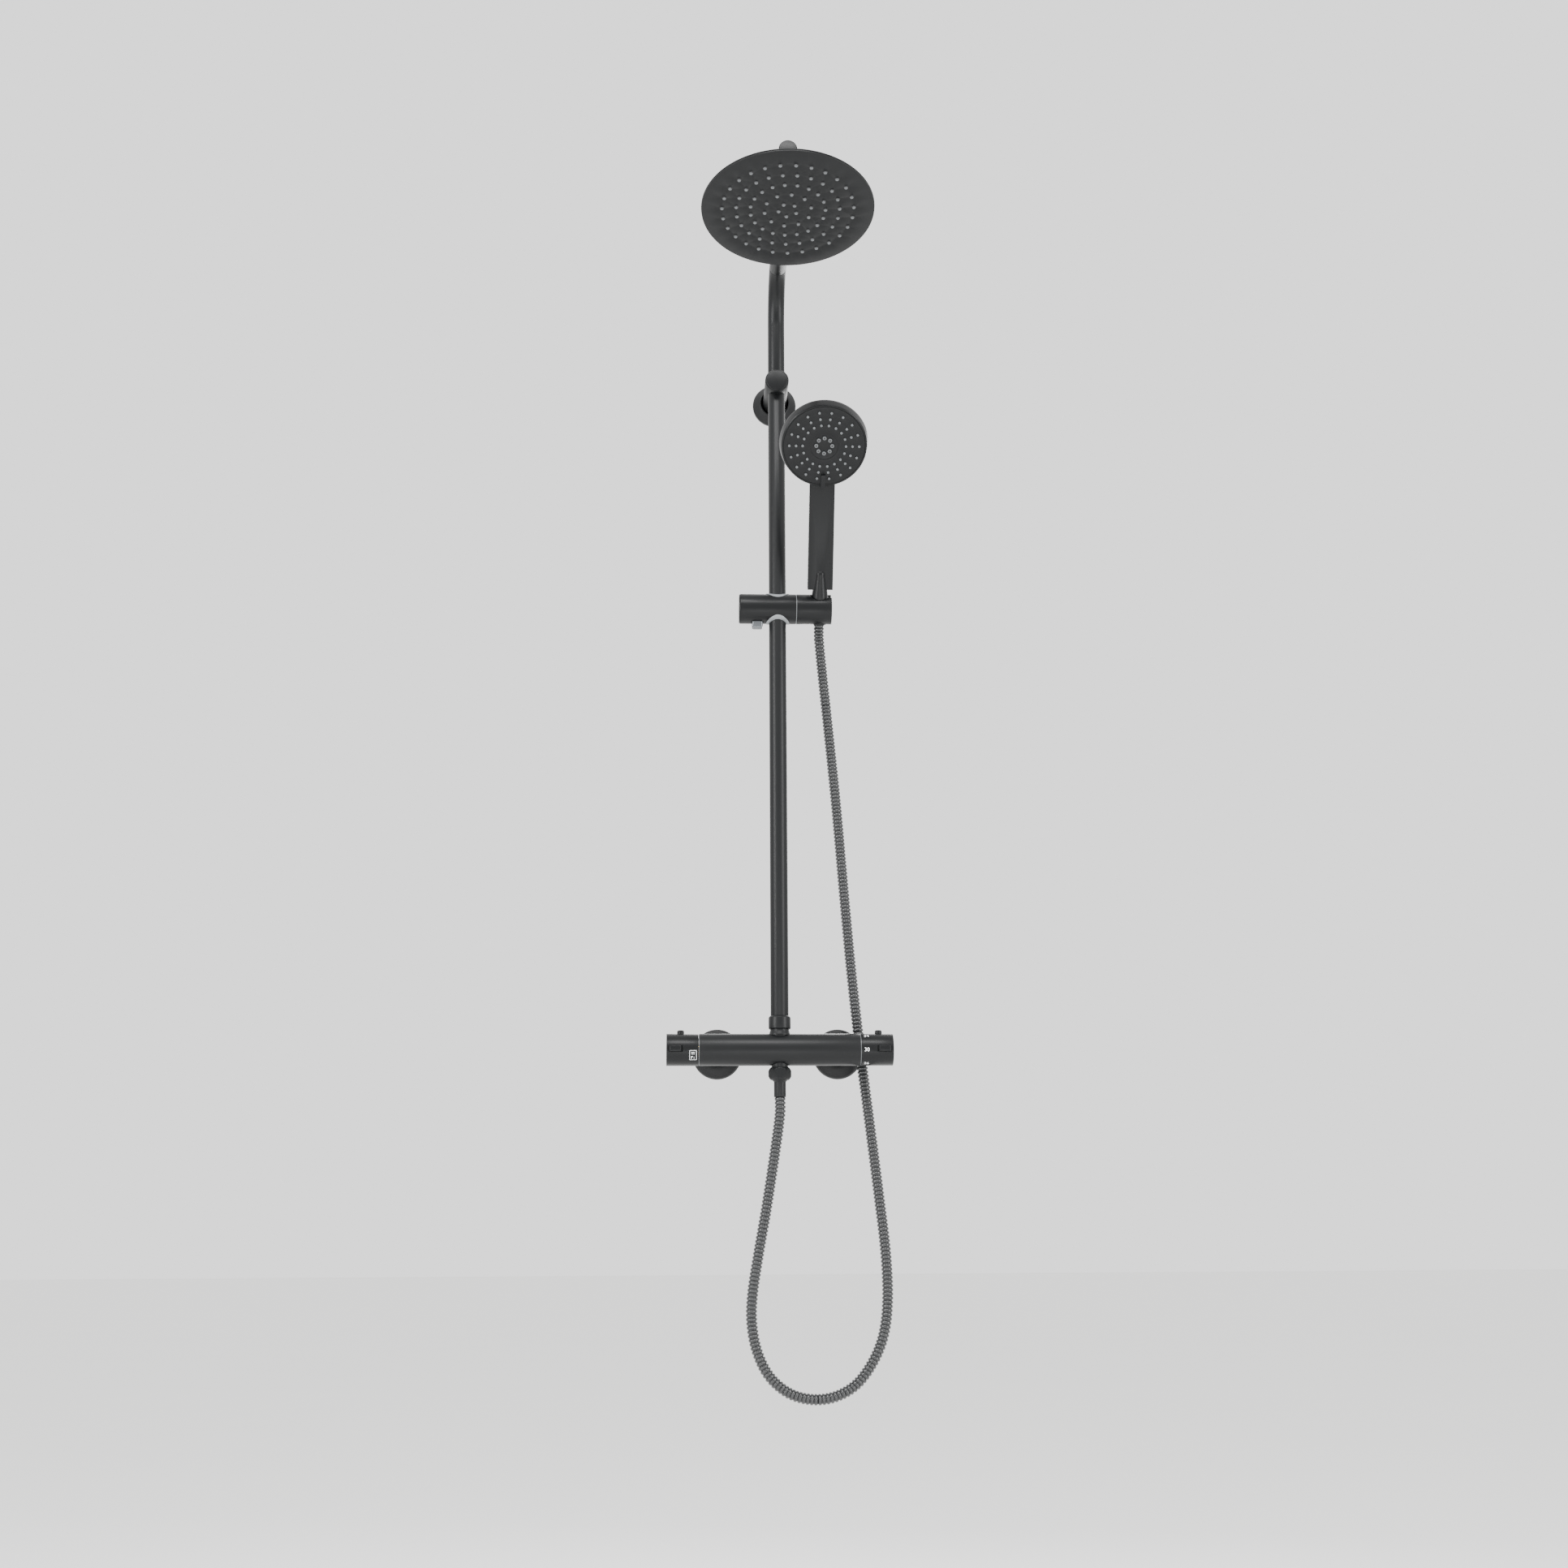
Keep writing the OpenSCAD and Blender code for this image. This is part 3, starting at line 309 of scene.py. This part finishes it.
def grainy(
    name, base, rough, grain, depth, variation=0.12, metallic=0.0, ior=1.5, patch=60, gloss=0.5,
):
    """A surface with a fine grain in its relief and soft patches in its tone and gloss.

    grain and patch are in millimetres, and depth is the height of the grain in metres.
    """
    material, tree, shader, where = new_material(name)
    fine = add(
        tree, "ShaderNodeTexNoise",
        {"Vector": where, "Scale": 1 / (grain * MM), "Detail": 3.0, "Roughness": 0.55},
    ).outputs["Fac"]
    soft = add(
        tree, "ShaderNodeTexNoise",
        {"Vector": where, "Scale": 1 / (patch * MM), "Detail": 2.0},
    ).outputs["Fac"]
    tree.links.new(
        shade(tree, soft, base, 1 - variation, 1 + variation), shader.inputs["Base Color"],
    )
    both = add(
        tree, "ShaderNodeMath", {0: soft, 1: fine}, operation="MULTIPLY_ADD",
    )
    both.inputs[1].default_value = 0.6
    tree.links.new(fine, both.inputs[2])
    tree.links.new(
        spread(tree, both.outputs[0], rough - 0.05, rough + 0.03), shader.inputs["Roughness"],
    )
    bump = add(tree, "ShaderNodeBump", {"Strength": 0.6, "Distance": depth, "Height": fine})
    tree.links.new(bump.outputs["Normal"], shader.inputs["Normal"])
    shader.inputs["Metallic"].default_value = metallic
    if not metallic:
        shader.inputs["IOR"].default_value = ior
        shader.inputs["Specular IOR Level"].default_value = gloss
    return material


def turned(name, base, rough, pitch, axis):
    """Bare metal cut on a lathe: fine rings across the given axis."""
    material, tree, shader, where = new_material(name)
    stretch = [0.02, 0.02, 0.02]
    stretch["XYZ".index(axis)] = 1.0
    rings = add(tree, "ShaderNodeMapping", {"Vector": where, "Scale": stretch}).outputs["Vector"]
    lines = add(
        tree, "ShaderNodeTexNoise",
        {"Vector": rings, "Scale": 1 / (pitch * MM), "Detail": 2.0},
    ).outputs["Fac"]
    tree.links.new(shade(tree, lines, base, 0.86, 1.08), shader.inputs["Base Color"])
    tree.links.new(spread(tree, lines, rough - 0.1, rough + 0.12), shader.inputs["Roughness"])
    bump = add(tree, "ShaderNodeBump", {"Strength": 0.4, "Distance": 0.02 * MM, "Height": lines})
    tree.links.new(bump.outputs["Normal"], shader.inputs["Normal"])
    shader.inputs["Metallic"].default_value = 1.0
    return material


MATERIALS = {}


def material_of(key):
    """Each finish is made once."""
    if key not in MATERIALS:
        MATERIALS[key] = FINISHES[key]()
    return MATERIALS[key]


def powder_coat():
    # Brass and steel under a sprayed, baked matte black coat: a faint orange-peel relief
    # about 0.6 mm across, and a low soft sheen that widens the highlights.
    return grainy(
        "powder_coated_brass", colours().black, 0.38, 0.6, 0.003 * MM, 0.08, patch=45, gloss=0.17,
    )


def moulded_black():
    # Painted ABS of the handset and the slider: smoother than the coat, slightly glossier.
    return grainy("painted_abs", colours().plastic, 0.34, 0.4, 0.002 * MM, 0.06, patch=90, gloss=0.16)


def hose_strip():
    # Coated steel strip of an interlocked hose: tight sheen on every turn.
    return grainy("coated_interlock_strip", colours().hose, 0.25, 0.6, 0.003 * MM, 0.08, gloss=0.5)


def grey_acetal():
    # Moulded acetal of the slider's friction ring and bush: waxy and even.
    return grainy("grey_acetal", colours().ring, 0.38, 0.35, 0.005 * MM, 0.06)


def dark_acetal():
    # Dark grey moulded acetal of the stop rings beside the knobs.
    return grainy("dark_acetal", colours().stop, 0.4, 0.35, 0.005 * MM, 0.06)


def glossy_grey():
    # Plated ABS button: a metallic grey with a soft polish.
    return grainy("plated_abs", colours().button, 0.24, 0.5, 0.003 * MM, 0.05, metallic=0.75)


def grey_silicone():
    # Moulded liquid silicone: matte, soft to the eye, slightly uneven in tone.
    material = grainy("grey_silicone", colours().nozzle, 0.52, 0.3, 0.008 * MM, 0.1, ior=1.41)
    shader = material.node_tree.nodes["Principled BSDF"]
    shader.inputs["Subsurface Weight"].default_value = 0.08
    shader.inputs["Subsurface Radius"].default_value = (0.4 * MM, 0.4 * MM, 0.4 * MM)
    return material


def print_ink():
    # Pad-printed ink: flat white with a very fine mottle.
    return grainy("pad_print_ink", colours().print, 0.5, 0.15, 0.002 * MM, 0.05)


def turned_brass():
    # Machined brass of the cartridges and spindles, with lathe marks round the bar's axis.
    return turned("turned_brass", linear("#b8995a"), 0.3, 0.12, "X")


def turned_steel():
    # Nickel-plated steel of the hidden fittings.
    return turned("nickel_steel", linear("#a9abad"), 0.32, 0.15, "Y")


def nylon():
    # Natural nylon of the seats, filters and check valves.
    return grainy("natural_nylon", linear("#d9d6cc"), 0.45, 0.4, 0.01 * MM, 0.05, ior=1.53)


def rubber_and_painted_shade():
    # Black nitrile rubber of the seals: dull and slightly dusty. It also serves as painted shadow round the rain
    # nozzles and as painted shade in the holes of the middle spray.
    return grainy("nitrile_rubber_and_painted_shade", linear("#1b1b1b"), 0.68, 0.3, 0.02 * MM, 0.15, ior=1.52)


FINISHES = {
    "black": powder_coat, "plastic": moulded_black, "hose": hose_strip, "ring": grey_acetal,
    "stop": dark_acetal, "button": glossy_grey, "nozzle": grey_silicone, "print": print_ink,
    "brass": turned_brass, "steel": turned_steel, "nylon": nylon, "rubber_and_painted_shade": rubber_and_painted_shade,
}
SLOT_FINISH = {
    "black_metal": "black", "black_plastic": "plastic", "grey_ring": "ring",
    "grey_button": "button", "silicone": "nozzle", "seal": "rubber_and_painted_shade", "brass": "brass",
    "steel": "steel", "white_plastic": "nylon", "hose_black": "hose",
}
NODE_SLOT = {row["node"]: row["material_slot"] for row in frame["record"]["subparts"]}
NODE_BODY = {
    node: body
    for body, nodes in frame["record"]["behaviour"]["bodies"].items() for node in nodes
}


# Operators -----------------------------------------------------------------------------

# Where the camera stands, in metres, and how it is turned, in degrees
CAMERA_AT = (-0.1134, -2.5056, -0.2207)
CAMERA_TURN = -2.84
CAMERA_LIFT = 14.45
CAMERA_ROLL = -0.34
CAMERA_SENSOR = 36
CAMERA_LENS = 45.7
CAMERA_SHIFT = -0.038

# How far the floor lies below the lowest point of the object
FLOOR_DROP = 0.55

SKY_STRENGTH = 1.65

# Each lamp's name, place in metres, power in watts, width and height in metres
LAMPS = (
    ("left_strip", (-2.3, -1.7, 0.7), 105, 0.6, 2.4),
    ("right_strip", (2.3, -1.7, 0.5), 90, 0.6, 2.4),
    ("front_overhead", (-0.2, -2.2, 2.9), 150, 2.4, 0.7),
    ("low_front", (-0.1, -2.4, -0.75), 14, 1.6, 0.5),
    ("back", (0.5, 2.3, 1.2), 40, 1.4, 1.4),
)


class StageOperator(bpy.types.Operator):
    """Makes the camera, the floor, the lights and the world."""
    bl_idname = "shower.stage"
    bl_label = "Stage"

    def execute(self, context):
        scene = context.scene
        camera = bpy.data.objects.new("camera", bpy.data.cameras.new("camera"))
        scene.collection.objects.link(camera)
        camera.location = CAMERA_AT
        aim(camera, turn=CAMERA_TURN, lift=CAMERA_LIFT, roll=CAMERA_ROLL)
        camera.data.sensor_width = CAMERA_SENSOR
        camera.data.lens = CAMERA_LENS
        camera.data.shift_y = CAMERA_SHIFT
        scene.camera = camera
        floor_z = CAD_BOX[0].z - FLOOR_DROP
        bm = bmesh.new()
        bmesh.ops.create_grid(bm, x_segments=2, y_segments=2, size=40)
        bmesh.ops.translate(bm, vec=(0, 0, floor_z), verts=bm.verts)
        floor = finish_piece("floor", bm, floor_paint(), None)
        for name, at, power, width, height in LAMPS:
            lamp(name, at, power, width, height)
        world = bpy.data.worlds.new("studio")
        world.use_nodes = True
        tree = world.node_tree
        tree.nodes.clear()
        sky = add(
            tree, "ShaderNodeBackground", {"Color": (1, 1, 1, 1), "Strength": SKY_STRENGTH},
        )
        output = add(tree, "ShaderNodeOutputWorld")
        tree.links.new(sky.outputs[0], output.inputs["Surface"])
        scene.world = world
        return {"FINISHED"}


def aim(camera, turn, lift, roll):
    """Points the camera by its heading to the left, its lift and its roll, in degrees."""
    turn, lift, roll = (math.radians(a) for a in (turn, lift, roll))
    ahead = Vector((
        -math.sin(turn) * math.cos(lift), math.cos(turn) * math.cos(lift), math.sin(lift),
    ))
    right = Vector((math.cos(turn), math.sin(turn), 0))
    up = right.cross(ahead)
    side = right * math.cos(roll) + up * math.sin(roll)
    top = up * math.cos(roll) - right * math.sin(roll)
    camera.rotation_euler = Matrix((side, top, -ahead)).transposed().to_euler()


def floor_paint():
    # Seamless pale paper under the object.
    return grainy("pale_paper", linear("#f4f4f3"), 0.8, 4, 0.02 * MM, 0.01, patch=900)


def lamp(name, at, power, width, height):
    """A soft oblong light that faces the middle of the object."""
    data = bpy.data.lights.new(name, "AREA")
    data.energy = power
    data.shape = "RECTANGLE"
    data.size = width
    data.size_y = height
    light = bpy.data.objects.new(name, data)
    bpy.context.scene.collection.objects.link(light)
    light.location = at
    target = (CAD_BOX[0] + CAD_BOX[1]) / 2
    light.rotation_euler = (target - Vector(at)).to_track_quat("-Z", "Y").to_euler()


# Hose

def smooth_line(points, steps):
    """Points on a smooth curve through all the given ones."""
    line = []
    for i in range(len(points) - 1):
        a, b = points[max(i - 1, 0)], points[i]
        c, d = points[i + 1], points[min(i + 2, len(points) - 1)]
        for j in range(steps):
            t = j / steps
            line.append(0.5 * (
                2 * b + (c - a) * t + (2 * a - 5 * b + 4 * c - d) * t ** 2
                + (3 * b - a - 3 * c + d) * t ** 3
            ))
    line.append(points[-1])
    return line


def hose_centreline():
    """The whole centreline, from the ferrule into the handset."""
    points = [HOSE_START] + [Vector(p) * MM for p in HOSE_ROUTE]
    for height in (-30, 24):
        points.append(HANDSET_AT + HANDSET_UP * height * MM)
    return smooth_line(points, 12)


def resample(line, lengths):
    """Points at the given lengths along a line."""
    found, i, gone = [], 0, 0.0
    for wanted in lengths:
        while i < len(line) - 2 and gone + (line[i + 1] - line[i]).length < wanted:
            gone += (line[i + 1] - line[i]).length
            i += 1
        step = line[i + 1] - line[i]
        found.append(line[i] + step * min(1, (wanted - gone) / max(step.length, 1e-9)))
    return found


def ribbed_tube(centres, radii, sides=24):
    """A tube whose rings have their own radii, closed at both ends."""
    bm = bmesh.new()
    across = Vector((1, 0.01, 0.02))
    rings = []
    for i, centre in enumerate(centres):
        ahead = (centres[min(i + 1, len(centres) - 1)] - centres[max(i - 1, 0)]).normalized()
        across = (across - ahead * across.dot(ahead)).normalized()
        other = ahead.cross(across)
        ring = []
        for k in range(sides):
            a = 2 * math.pi * k / sides
            ring.append(bm.verts.new(
                centre + radii[i] * (across * math.cos(a) + other * math.sin(a))
            ))
        rings.append(ring)
    for low, high in zip(rings, rings[1:]):
        for k in range(sides):
            bm.faces.new((low[k], low[(k + 1) % sides], high[(k + 1) % sides], high[k]))
    bm.faces.new(list(reversed(rings[0])))
    bm.faces.new(rings[-1])
    return bm


# Height, in metres, where the last run of the hose, up to the handset, begins
LAST_RUN_Z = 0.44

# One turn of the interlocked strip: how far along it, and how deep
TURN = (
    (0.0, 1.0), (0.09, 0.85), (0.16, 0.35), (0.27, 0.07), (0.42, 0.0), (0.58, 0.02), (0.72, 0.16),
    (0.84, 0.45), (0.93, 0.9),
)


class HoseOperator(bpy.types.Operator):
    """Makes the hose in three runs, cut at the loop's lowest point and where the last run begins."""
    bl_idname = "shower.hose"
    bl_label = "Hose"

    def execute(self, context):
        size = sizes()
        line = hose_centreline()
        gone = [0.0]
        for a, b in zip(line, line[1:]):
            gone.append(gone[-1] + (b - a).length)
        turns = round(gone[-1] / size.hose_pitch)
        pitch = gone[-1] / turns
        lowest = min(range(len(line)), key=lambda i: line[i].z)
        top = next(i for i in range(lowest, len(line)) if line[i].z > LAST_RUN_Z)
        cuts = [0, round(gone[lowest] / pitch), round(gone[top] / pitch), turns]
        bottom_z = line[lowest].z
        names = ("hose_valve_run", "hose_rising_run", "hose_handset_run")
        blends = (
            ("column", "slider", HOSE_START.z, 2 * bottom_z - HOSE_START.z),
            ("column", "slider", 2 * bottom_z - line[top].z, line[top].z),
            ("slider", "cradle_unit", line[top].z, HANDSET_AT.z - 25 * MM),
        )
        for i, (name, (a, b, low, high)) in enumerate(zip(names, blends)):
            lengths, radii = [], []
            for turn in range(cuts[i], cuts[i + 1]):
                for along, deep in TURN:
                    lengths.append((turn + along) * pitch)
                    radii.append(size.hose / 2 - size.hose_groove * deep)
            lengths.append(cuts[i + 1] * pitch)
            radii.append(size.hose / 2 - size.hose_groove)
            centres = resample(line, lengths)
            piece = finish_piece(
                name, ribbed_tube(centres, radii), material_of("hose"), None,
                ("hose",), sharp=58,
            )
            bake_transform(piece)
        return {"FINISHED"}


class FittingsOperator(bpy.types.Operator):
    """Gives every CAD piece its finish, and the shown ones softened edges."""
    bl_idname = "shower.fittings"
    bl_label = "Fittings"

    def execute(self, context):
        for node, piece in frame["nodes"].items():
            piece.data.materials.clear()
            piece.data.materials.append(finish_of(node))
        for node, width in SOFTENED.items():
            finish_piece(
                node + "_finished", from_frame(node, width * MM), finish_of(node),
                NODE_BODY[node], (node,),
            )
        return {"FINISHED"}


# The CAD pieces that are shown with softened edges, and the edges' width in millimetres
SOFTENED = {
    "valve_body": 0.5, "inlet_nut_left": 0.6, "inlet_nut_right": 0.6, "riser_collar": 0.5,
    "drop_outlet": 0.5, "bracket_arm": 0.5, "slider_body": 0.4, "slider_liner": 0.25,
    "cradle": 0.5, "slider_button": 2.2, "thermo_knob": 0.4, "flow_knob": 0.4,
    "thermo_button": 0.4, "flow_button": 0.4, "thermo_knob_cap": 0.3, "flow_knob_cap": 0.3,
    "slider_end_cap": 0.4, "bracket_cap": 0.6, "arm_end_cap": 0.8, "shower_arm": 0.3,
    "riser_pipe": 0.3, "wall_flange_left": 0.8, "wall_flange_right": 0.8,
    "rain_head_back": 0.6, "rain_head_face": 0.25,
    "handset_shell": 0.6, "spray_face": 0.25, "hose_cone_nut": 0.5, "hose_ferrule": 0.4,
    "spray_nozzles": 0.3, "rain_nozzles": 0.4,
}


def finish_of(node):
    """The finish of a CAD node: the stop rings are darker than the slider's grey parts."""
    key = "stop" if node.endswith("stop_ring") else SLOT_FINISH[NODE_SLOT[node]]
    return material_of(key)


class FlangeOperator(bpy.types.Operator):
    """Makes the wall flange that closes round the bracket's arm."""
    bl_idname = "shower.flange"
    bl_label = "Bracket flange"

    def execute(self, context):
        centre = middle("bracket_flange")
        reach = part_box("bracket_flange")[1]
        rim = reach.x - centre.x
        where = axes((centre.x, reach.y, centre.z), RIGHT, (0, -1, 0))
        arm = (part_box("bracket_cap")[1].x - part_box("bracket_cap")[0].x) / 2 + 0.15 * MM
        outline = [
            (rim - 2 * MM, 0), (rim, 0), (rim, 5 * MM), (rim - 1.2 * MM, 6.2 * MM),
            (arm + 4.8 * MM, 15 * MM), (arm + 2.8 * MM, 15 * MM), (arm + 1.6 * MM, 7 * MM),
            (arm, 6.2 * MM), (arm, 4.5 * MM), (arm + 2.8 * MM, 4.5 * MM),
            (rim - 4 * MM, 3.5 * MM), (rim - 2 * MM, 0),
        ]
        finish_piece(
            "bracket_flange_turned", lathe(outline, where, 96, 0.5 * MM), material_of("black"),
            "column", ("bracket_flange",),
        )
        return {"FINISHED"}


class HoseNutOperator(bpy.types.Operator):
    """Makes the hexagonal nut of the hose with its turned chamfers."""
    bl_idname = "shower.hose_nut"
    bl_label = "Hose nut"

    def execute(self, context):
        low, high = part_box("hose_nut")
        flat = (high.y - low.y) / 2
        corner = flat / math.cos(math.pi / 6)
        where = Matrix.Translation((HOSE_START.x, HOSE_START.y, low.z))
        height = high.z - low.z
        bm = bmesh.new()
        rings = []
        for share, radius in NUT_OUTLINE:
            rings.append([])
            for k in range(NUT_STEPS):
                angle = 2 * math.pi * k / NUT_STEPS
                to_flat = (angle + math.pi / 6) % (math.pi / 3) - math.pi / 6
                across = min(corner * radius, flat / math.cos(to_flat))
                rings[-1].append(bm.verts.new((
                    across * math.sin(angle), across * math.cos(angle), share * height,
                )))
        for lower, upper in zip(rings, rings[1:]):
            skin(bm, lower, upper)
        inner = [
            [bm.verts.new((
                NUT_BORE * math.sin(2 * math.pi * k / NUT_STEPS),
                NUT_BORE * math.cos(2 * math.pi * k / NUT_STEPS), z,
            )) for k in range(NUT_STEPS)]
            for z in (0, height)
        ]
        skin(bm, inner[0], rings[0])
        skin(bm, rings[-1], inner[1])
        skin(bm, inner[1], inner[0])
        bmesh.ops.recalc_face_normals(bm, faces=bm.faces)
        bmesh.ops.transform(bm, matrix=where, verts=bm.verts)
        finish_piece(
            "hose_nut_chamfered", bm, material_of("black"), "column",
            ("hose_nut",), sharp=20,
        )
        return {"FINISHED"}


# Radius of the nut's bore, and how many steps go round it
NUT_BORE = 7.2 * MM
NUT_STEPS = 72

# Share of the nut's height, and share of its corner radius at that height
NUT_OUTLINE = (
    (0.0, 0.80), (0.05, 0.85), (0.1, 0.90), (0.18, 0.95), (0.28, 1.0), (0.72, 1.0), (0.82, 0.95),
    (0.9, 0.90), (0.95, 0.85), (1.0, 0.80),
)


def skin(bm, lower, upper):
    """Faces between two rings of vertices."""
    count = len(lower)
    for k in range(count):
        after = (k + 1) % count
        bm.faces.new((lower[k], lower[after], upper[after], upper[k]))


# Marks on the knobs

def figures(text, height):
    """Flat figures of the given height, centred on the origin."""
    curve = bpy.data.curves.new("figures", "FONT")
    curve.body = text
    curve.size = height / 0.7
    curve.align_x = "CENTER"
    curve.align_y = "CENTER"
    curve.resolution_u = 6
    made = bpy.data.objects.new("figures", curve)
    mesh = bpy.data.meshes.new_from_object(made)
    bm = bmesh.new()
    bm.from_mesh(mesh)
    bpy.data.objects.remove(made)
    bpy.data.curves.remove(curve)
    bpy.data.meshes.remove(mesh)
    return bm


def oblong(bm, x, y, width, height):
    """A flat oblong centred on x, y: all in millimetres."""
    corners = ((-0.5, -0.5), (0.5, -0.5), (0.5, 0.5), (-0.5, 0.5))
    bm.faces.new([
        bm.verts.new(((x + a * width) * MM, (y + b * height) * MM, 0)) for a, b in corners
    ])


def wrapped(bm, x, angle, radius):
    """Bends flat art round the valve bar, centred on x and on an angle above the front."""
    low = min(v.co.y for v in bm.verts)
    high = max(v.co.y for v in bm.verts)
    cuts = math.ceil((high - low) / (0.7 * MM))
    for i in range(1, cuts):
        bmesh.ops.bisect_plane(
            bm, geom=bm.verts[:] + bm.edges[:] + bm.faces[:], dist=1e-7,
            plane_co=(0, low + (high - low) * i / cuts, 0), plane_no=(0, 1, 0),
        )
    for v in bm.verts:
        turn = v.co.y / radius + math.radians(angle)
        v.co = Vector((
            x + v.co.x, BAR_AT.y - radius * math.cos(turn), BAR_AT.z + radius * math.sin(turn),
        ))
    return bm


class MarksOperator(bpy.types.Operator):
    """Prints the temperatures on one knob and a generic outlet sign on the other."""
    bl_idname = "shower.marks"
    bl_label = "Marks"

    def execute(self, context):
        height = sizes().mark
        radius = BAR_R + INK_LIFT
        numbers = bmesh.new()
        for i, text in enumerate(TEMPERATURES):
            angle = FIGURE_STEP * (i - 1) + FIGURE_TURN
            join(numbers, wrapped(figures(text, height), SEAM_X + 6.2 * MM, angle, radius))
        finish_piece(
            "temperature_marks", numbers, material_of("print"), "thermo_knob_unit",
        )
        sign = bmesh.new()
        for x, y, width, tall in OUTLET_SIGN:
            oblong(sign, x, y, width, tall)
        finish_piece(
            "outlet_sign", wrapped(sign, -SEAM_X - 6.8 * MM, -25, radius), material_of("print"),
            "flow_knob_unit",
        )
        return {"FINISHED"}


# How far the ink stands off the knob, and the figures with their places round it in degrees
INK_LIFT = 0.04 * MM
TEMPERATURES = ("26", "30", "34", "38", "42")
FIGURE_STEP = 58
FIGURE_TURN = -5

# A framed sign: a fixed head over its spray, and a handset over its spray, in millimetres
OUTLET_SIGN = (
    (0, 5.9, 8.6, 0.45), (0, -5.9, 8.6, 0.45), (-4.1, 0, 0.45, 11.4), (4.1, 0, 0.45, 11.4),
    (0.0, 3.6, 4.2, 0.7), (-1.5, 1.9, 0.5, 1.3), (0.0, 1.9, 0.5, 1.3), (1.5, 1.9, 0.5, 1.3),
    (-1.3, -1.6, 1.9, 1.3), (-1.9, -3.5, 0.7, 2.2), (1.3, -2.2, 0.5, 1.3), (1.3, -4.1, 0.5, 1.3),
)


class NozzleOperator(bpy.types.Operator):
    """Sets dark rings of painted shadow round the rain nozzles, and dark discs of painted shade in the holes of
    the middle spray.
    """
    bl_idname = "shower.nozzles"
    bl_label = "Nozzles"

    def execute(self, context):
        painted_shadow_rings = bmesh.new()
        for radius, count, turn in RAIN_RINGS:
            for i in range(count):
                angle = math.radians(turn) + 2 * math.pi * i / count
                at = Vector((radius * math.cos(angle), radius * math.sin(angle), 0)) * MM
                at.z = -FACE_DEPTH
                painted_shadow_ring = lathe(SHADOW_RING_OUTLINE, HEAD @ Matrix.Translation(at), 20)
                join(painted_shadow_rings, painted_shadow_ring)
        # Dark rings round the rain nozzles: painted shadow
        finish_piece(
            "rain_nozzle_painted_shadow_rings", painted_shadow_rings, material_of("rubber_and_painted_shade"), "rain_head",
        )
        # Dark discs on the holes of the middle spray: painted shade
        painted_hole_shades = bmesh.new()
        for i in range(MIDDLE_HOLES):
            angle = 2 * math.pi * i / MIDDLE_HOLES
            at = Vector((math.cos(angle), math.sin(angle), 0)) * MIDDLE_RING_R * MM
            painted_hole_shade = bmesh.new()
            bmesh.ops.create_circle(painted_hole_shade, cap_ends=True, radius=MIDDLE_HOLE_R * MM, segments=20)
            bmesh.ops.translate(painted_hole_shade, vec=at + Vector((0, 0, 0.04 * MM)), verts=painted_hole_shade.verts)
            bmesh.ops.transform(painted_hole_shade, matrix=FACE, verts=painted_hole_shade.verts)
            join(painted_hole_shades, painted_hole_shade)
        finish_piece(
            "middle_spray_painted_hole_shades", painted_hole_shades, material_of("rubber_and_painted_shade"), NODE_BODY["spray_nozzles"],
        )
        return {"FINISHED"}


# The holes of the middle spray, each drawn as a dark disc of painted shade: their count, and their ring's and own
# radius in millimetres
MIDDLE_HOLES = 8
MIDDLE_RING_R = 9.97
MIDDLE_HOLE_R = 1.35

# The dark ring round a rain nozzle is painted shadow, as a shallow ring a hair below the plate
SHADOW_RING_OUTLINE = tuple((r * MM, z * MM) for r, z in (
    (1.85, 0.1), (1.85, -0.05), (2.75, -0.05), (2.8, 0.1), (1.85, 0.1),
))


class ShowerPanel(bpy.types.Panel):
    """Lists the pieces and the sizes."""
    bl_idname = "VIEW3D_PT_shower"
    bl_label = "Shower column"
    bl_space_type = "VIEW_3D"
    bl_region_type = "UI"
    bl_category = "Shower"

    def draw(self, context):
        for group in (context.scene.shower_sizes, context.scene.shower_colours):
            for name in group.bl_rna.properties.keys():
                if name not in ("rna_type", "name"):
                    self.layout.prop(group, name)
        for operator in STEPS:
            self.layout.operator(operator.bl_idname)


STEPS = (
    StageOperator, HoseOperator, FittingsOperator, FlangeOperator, HoseNutOperator, MarksOperator,
    NozzleOperator,
)
CLASSES = (ShowerSizes, ShowerColours, *STEPS, ShowerPanel)


def register():
    for item in CLASSES:
        bpy.utils.register_class(item)
    bpy.types.Scene.shower_sizes = bpy.props.PointerProperty(type=ShowerSizes)
    bpy.types.Scene.shower_colours = bpy.props.PointerProperty(type=ShowerColours)


def unregister():
    del bpy.types.Scene.shower_colours
    del bpy.types.Scene.shower_sizes
    for item in reversed(CLASSES):
        bpy.utils.unregister_class(item)


def main():
    """Builds everything in order."""
    register()
    for step in STEPS:
        group, name = step.bl_idname.split(".")
        getattr(getattr(bpy.ops, group), name)()


if __name__ == "__main__":
    main()
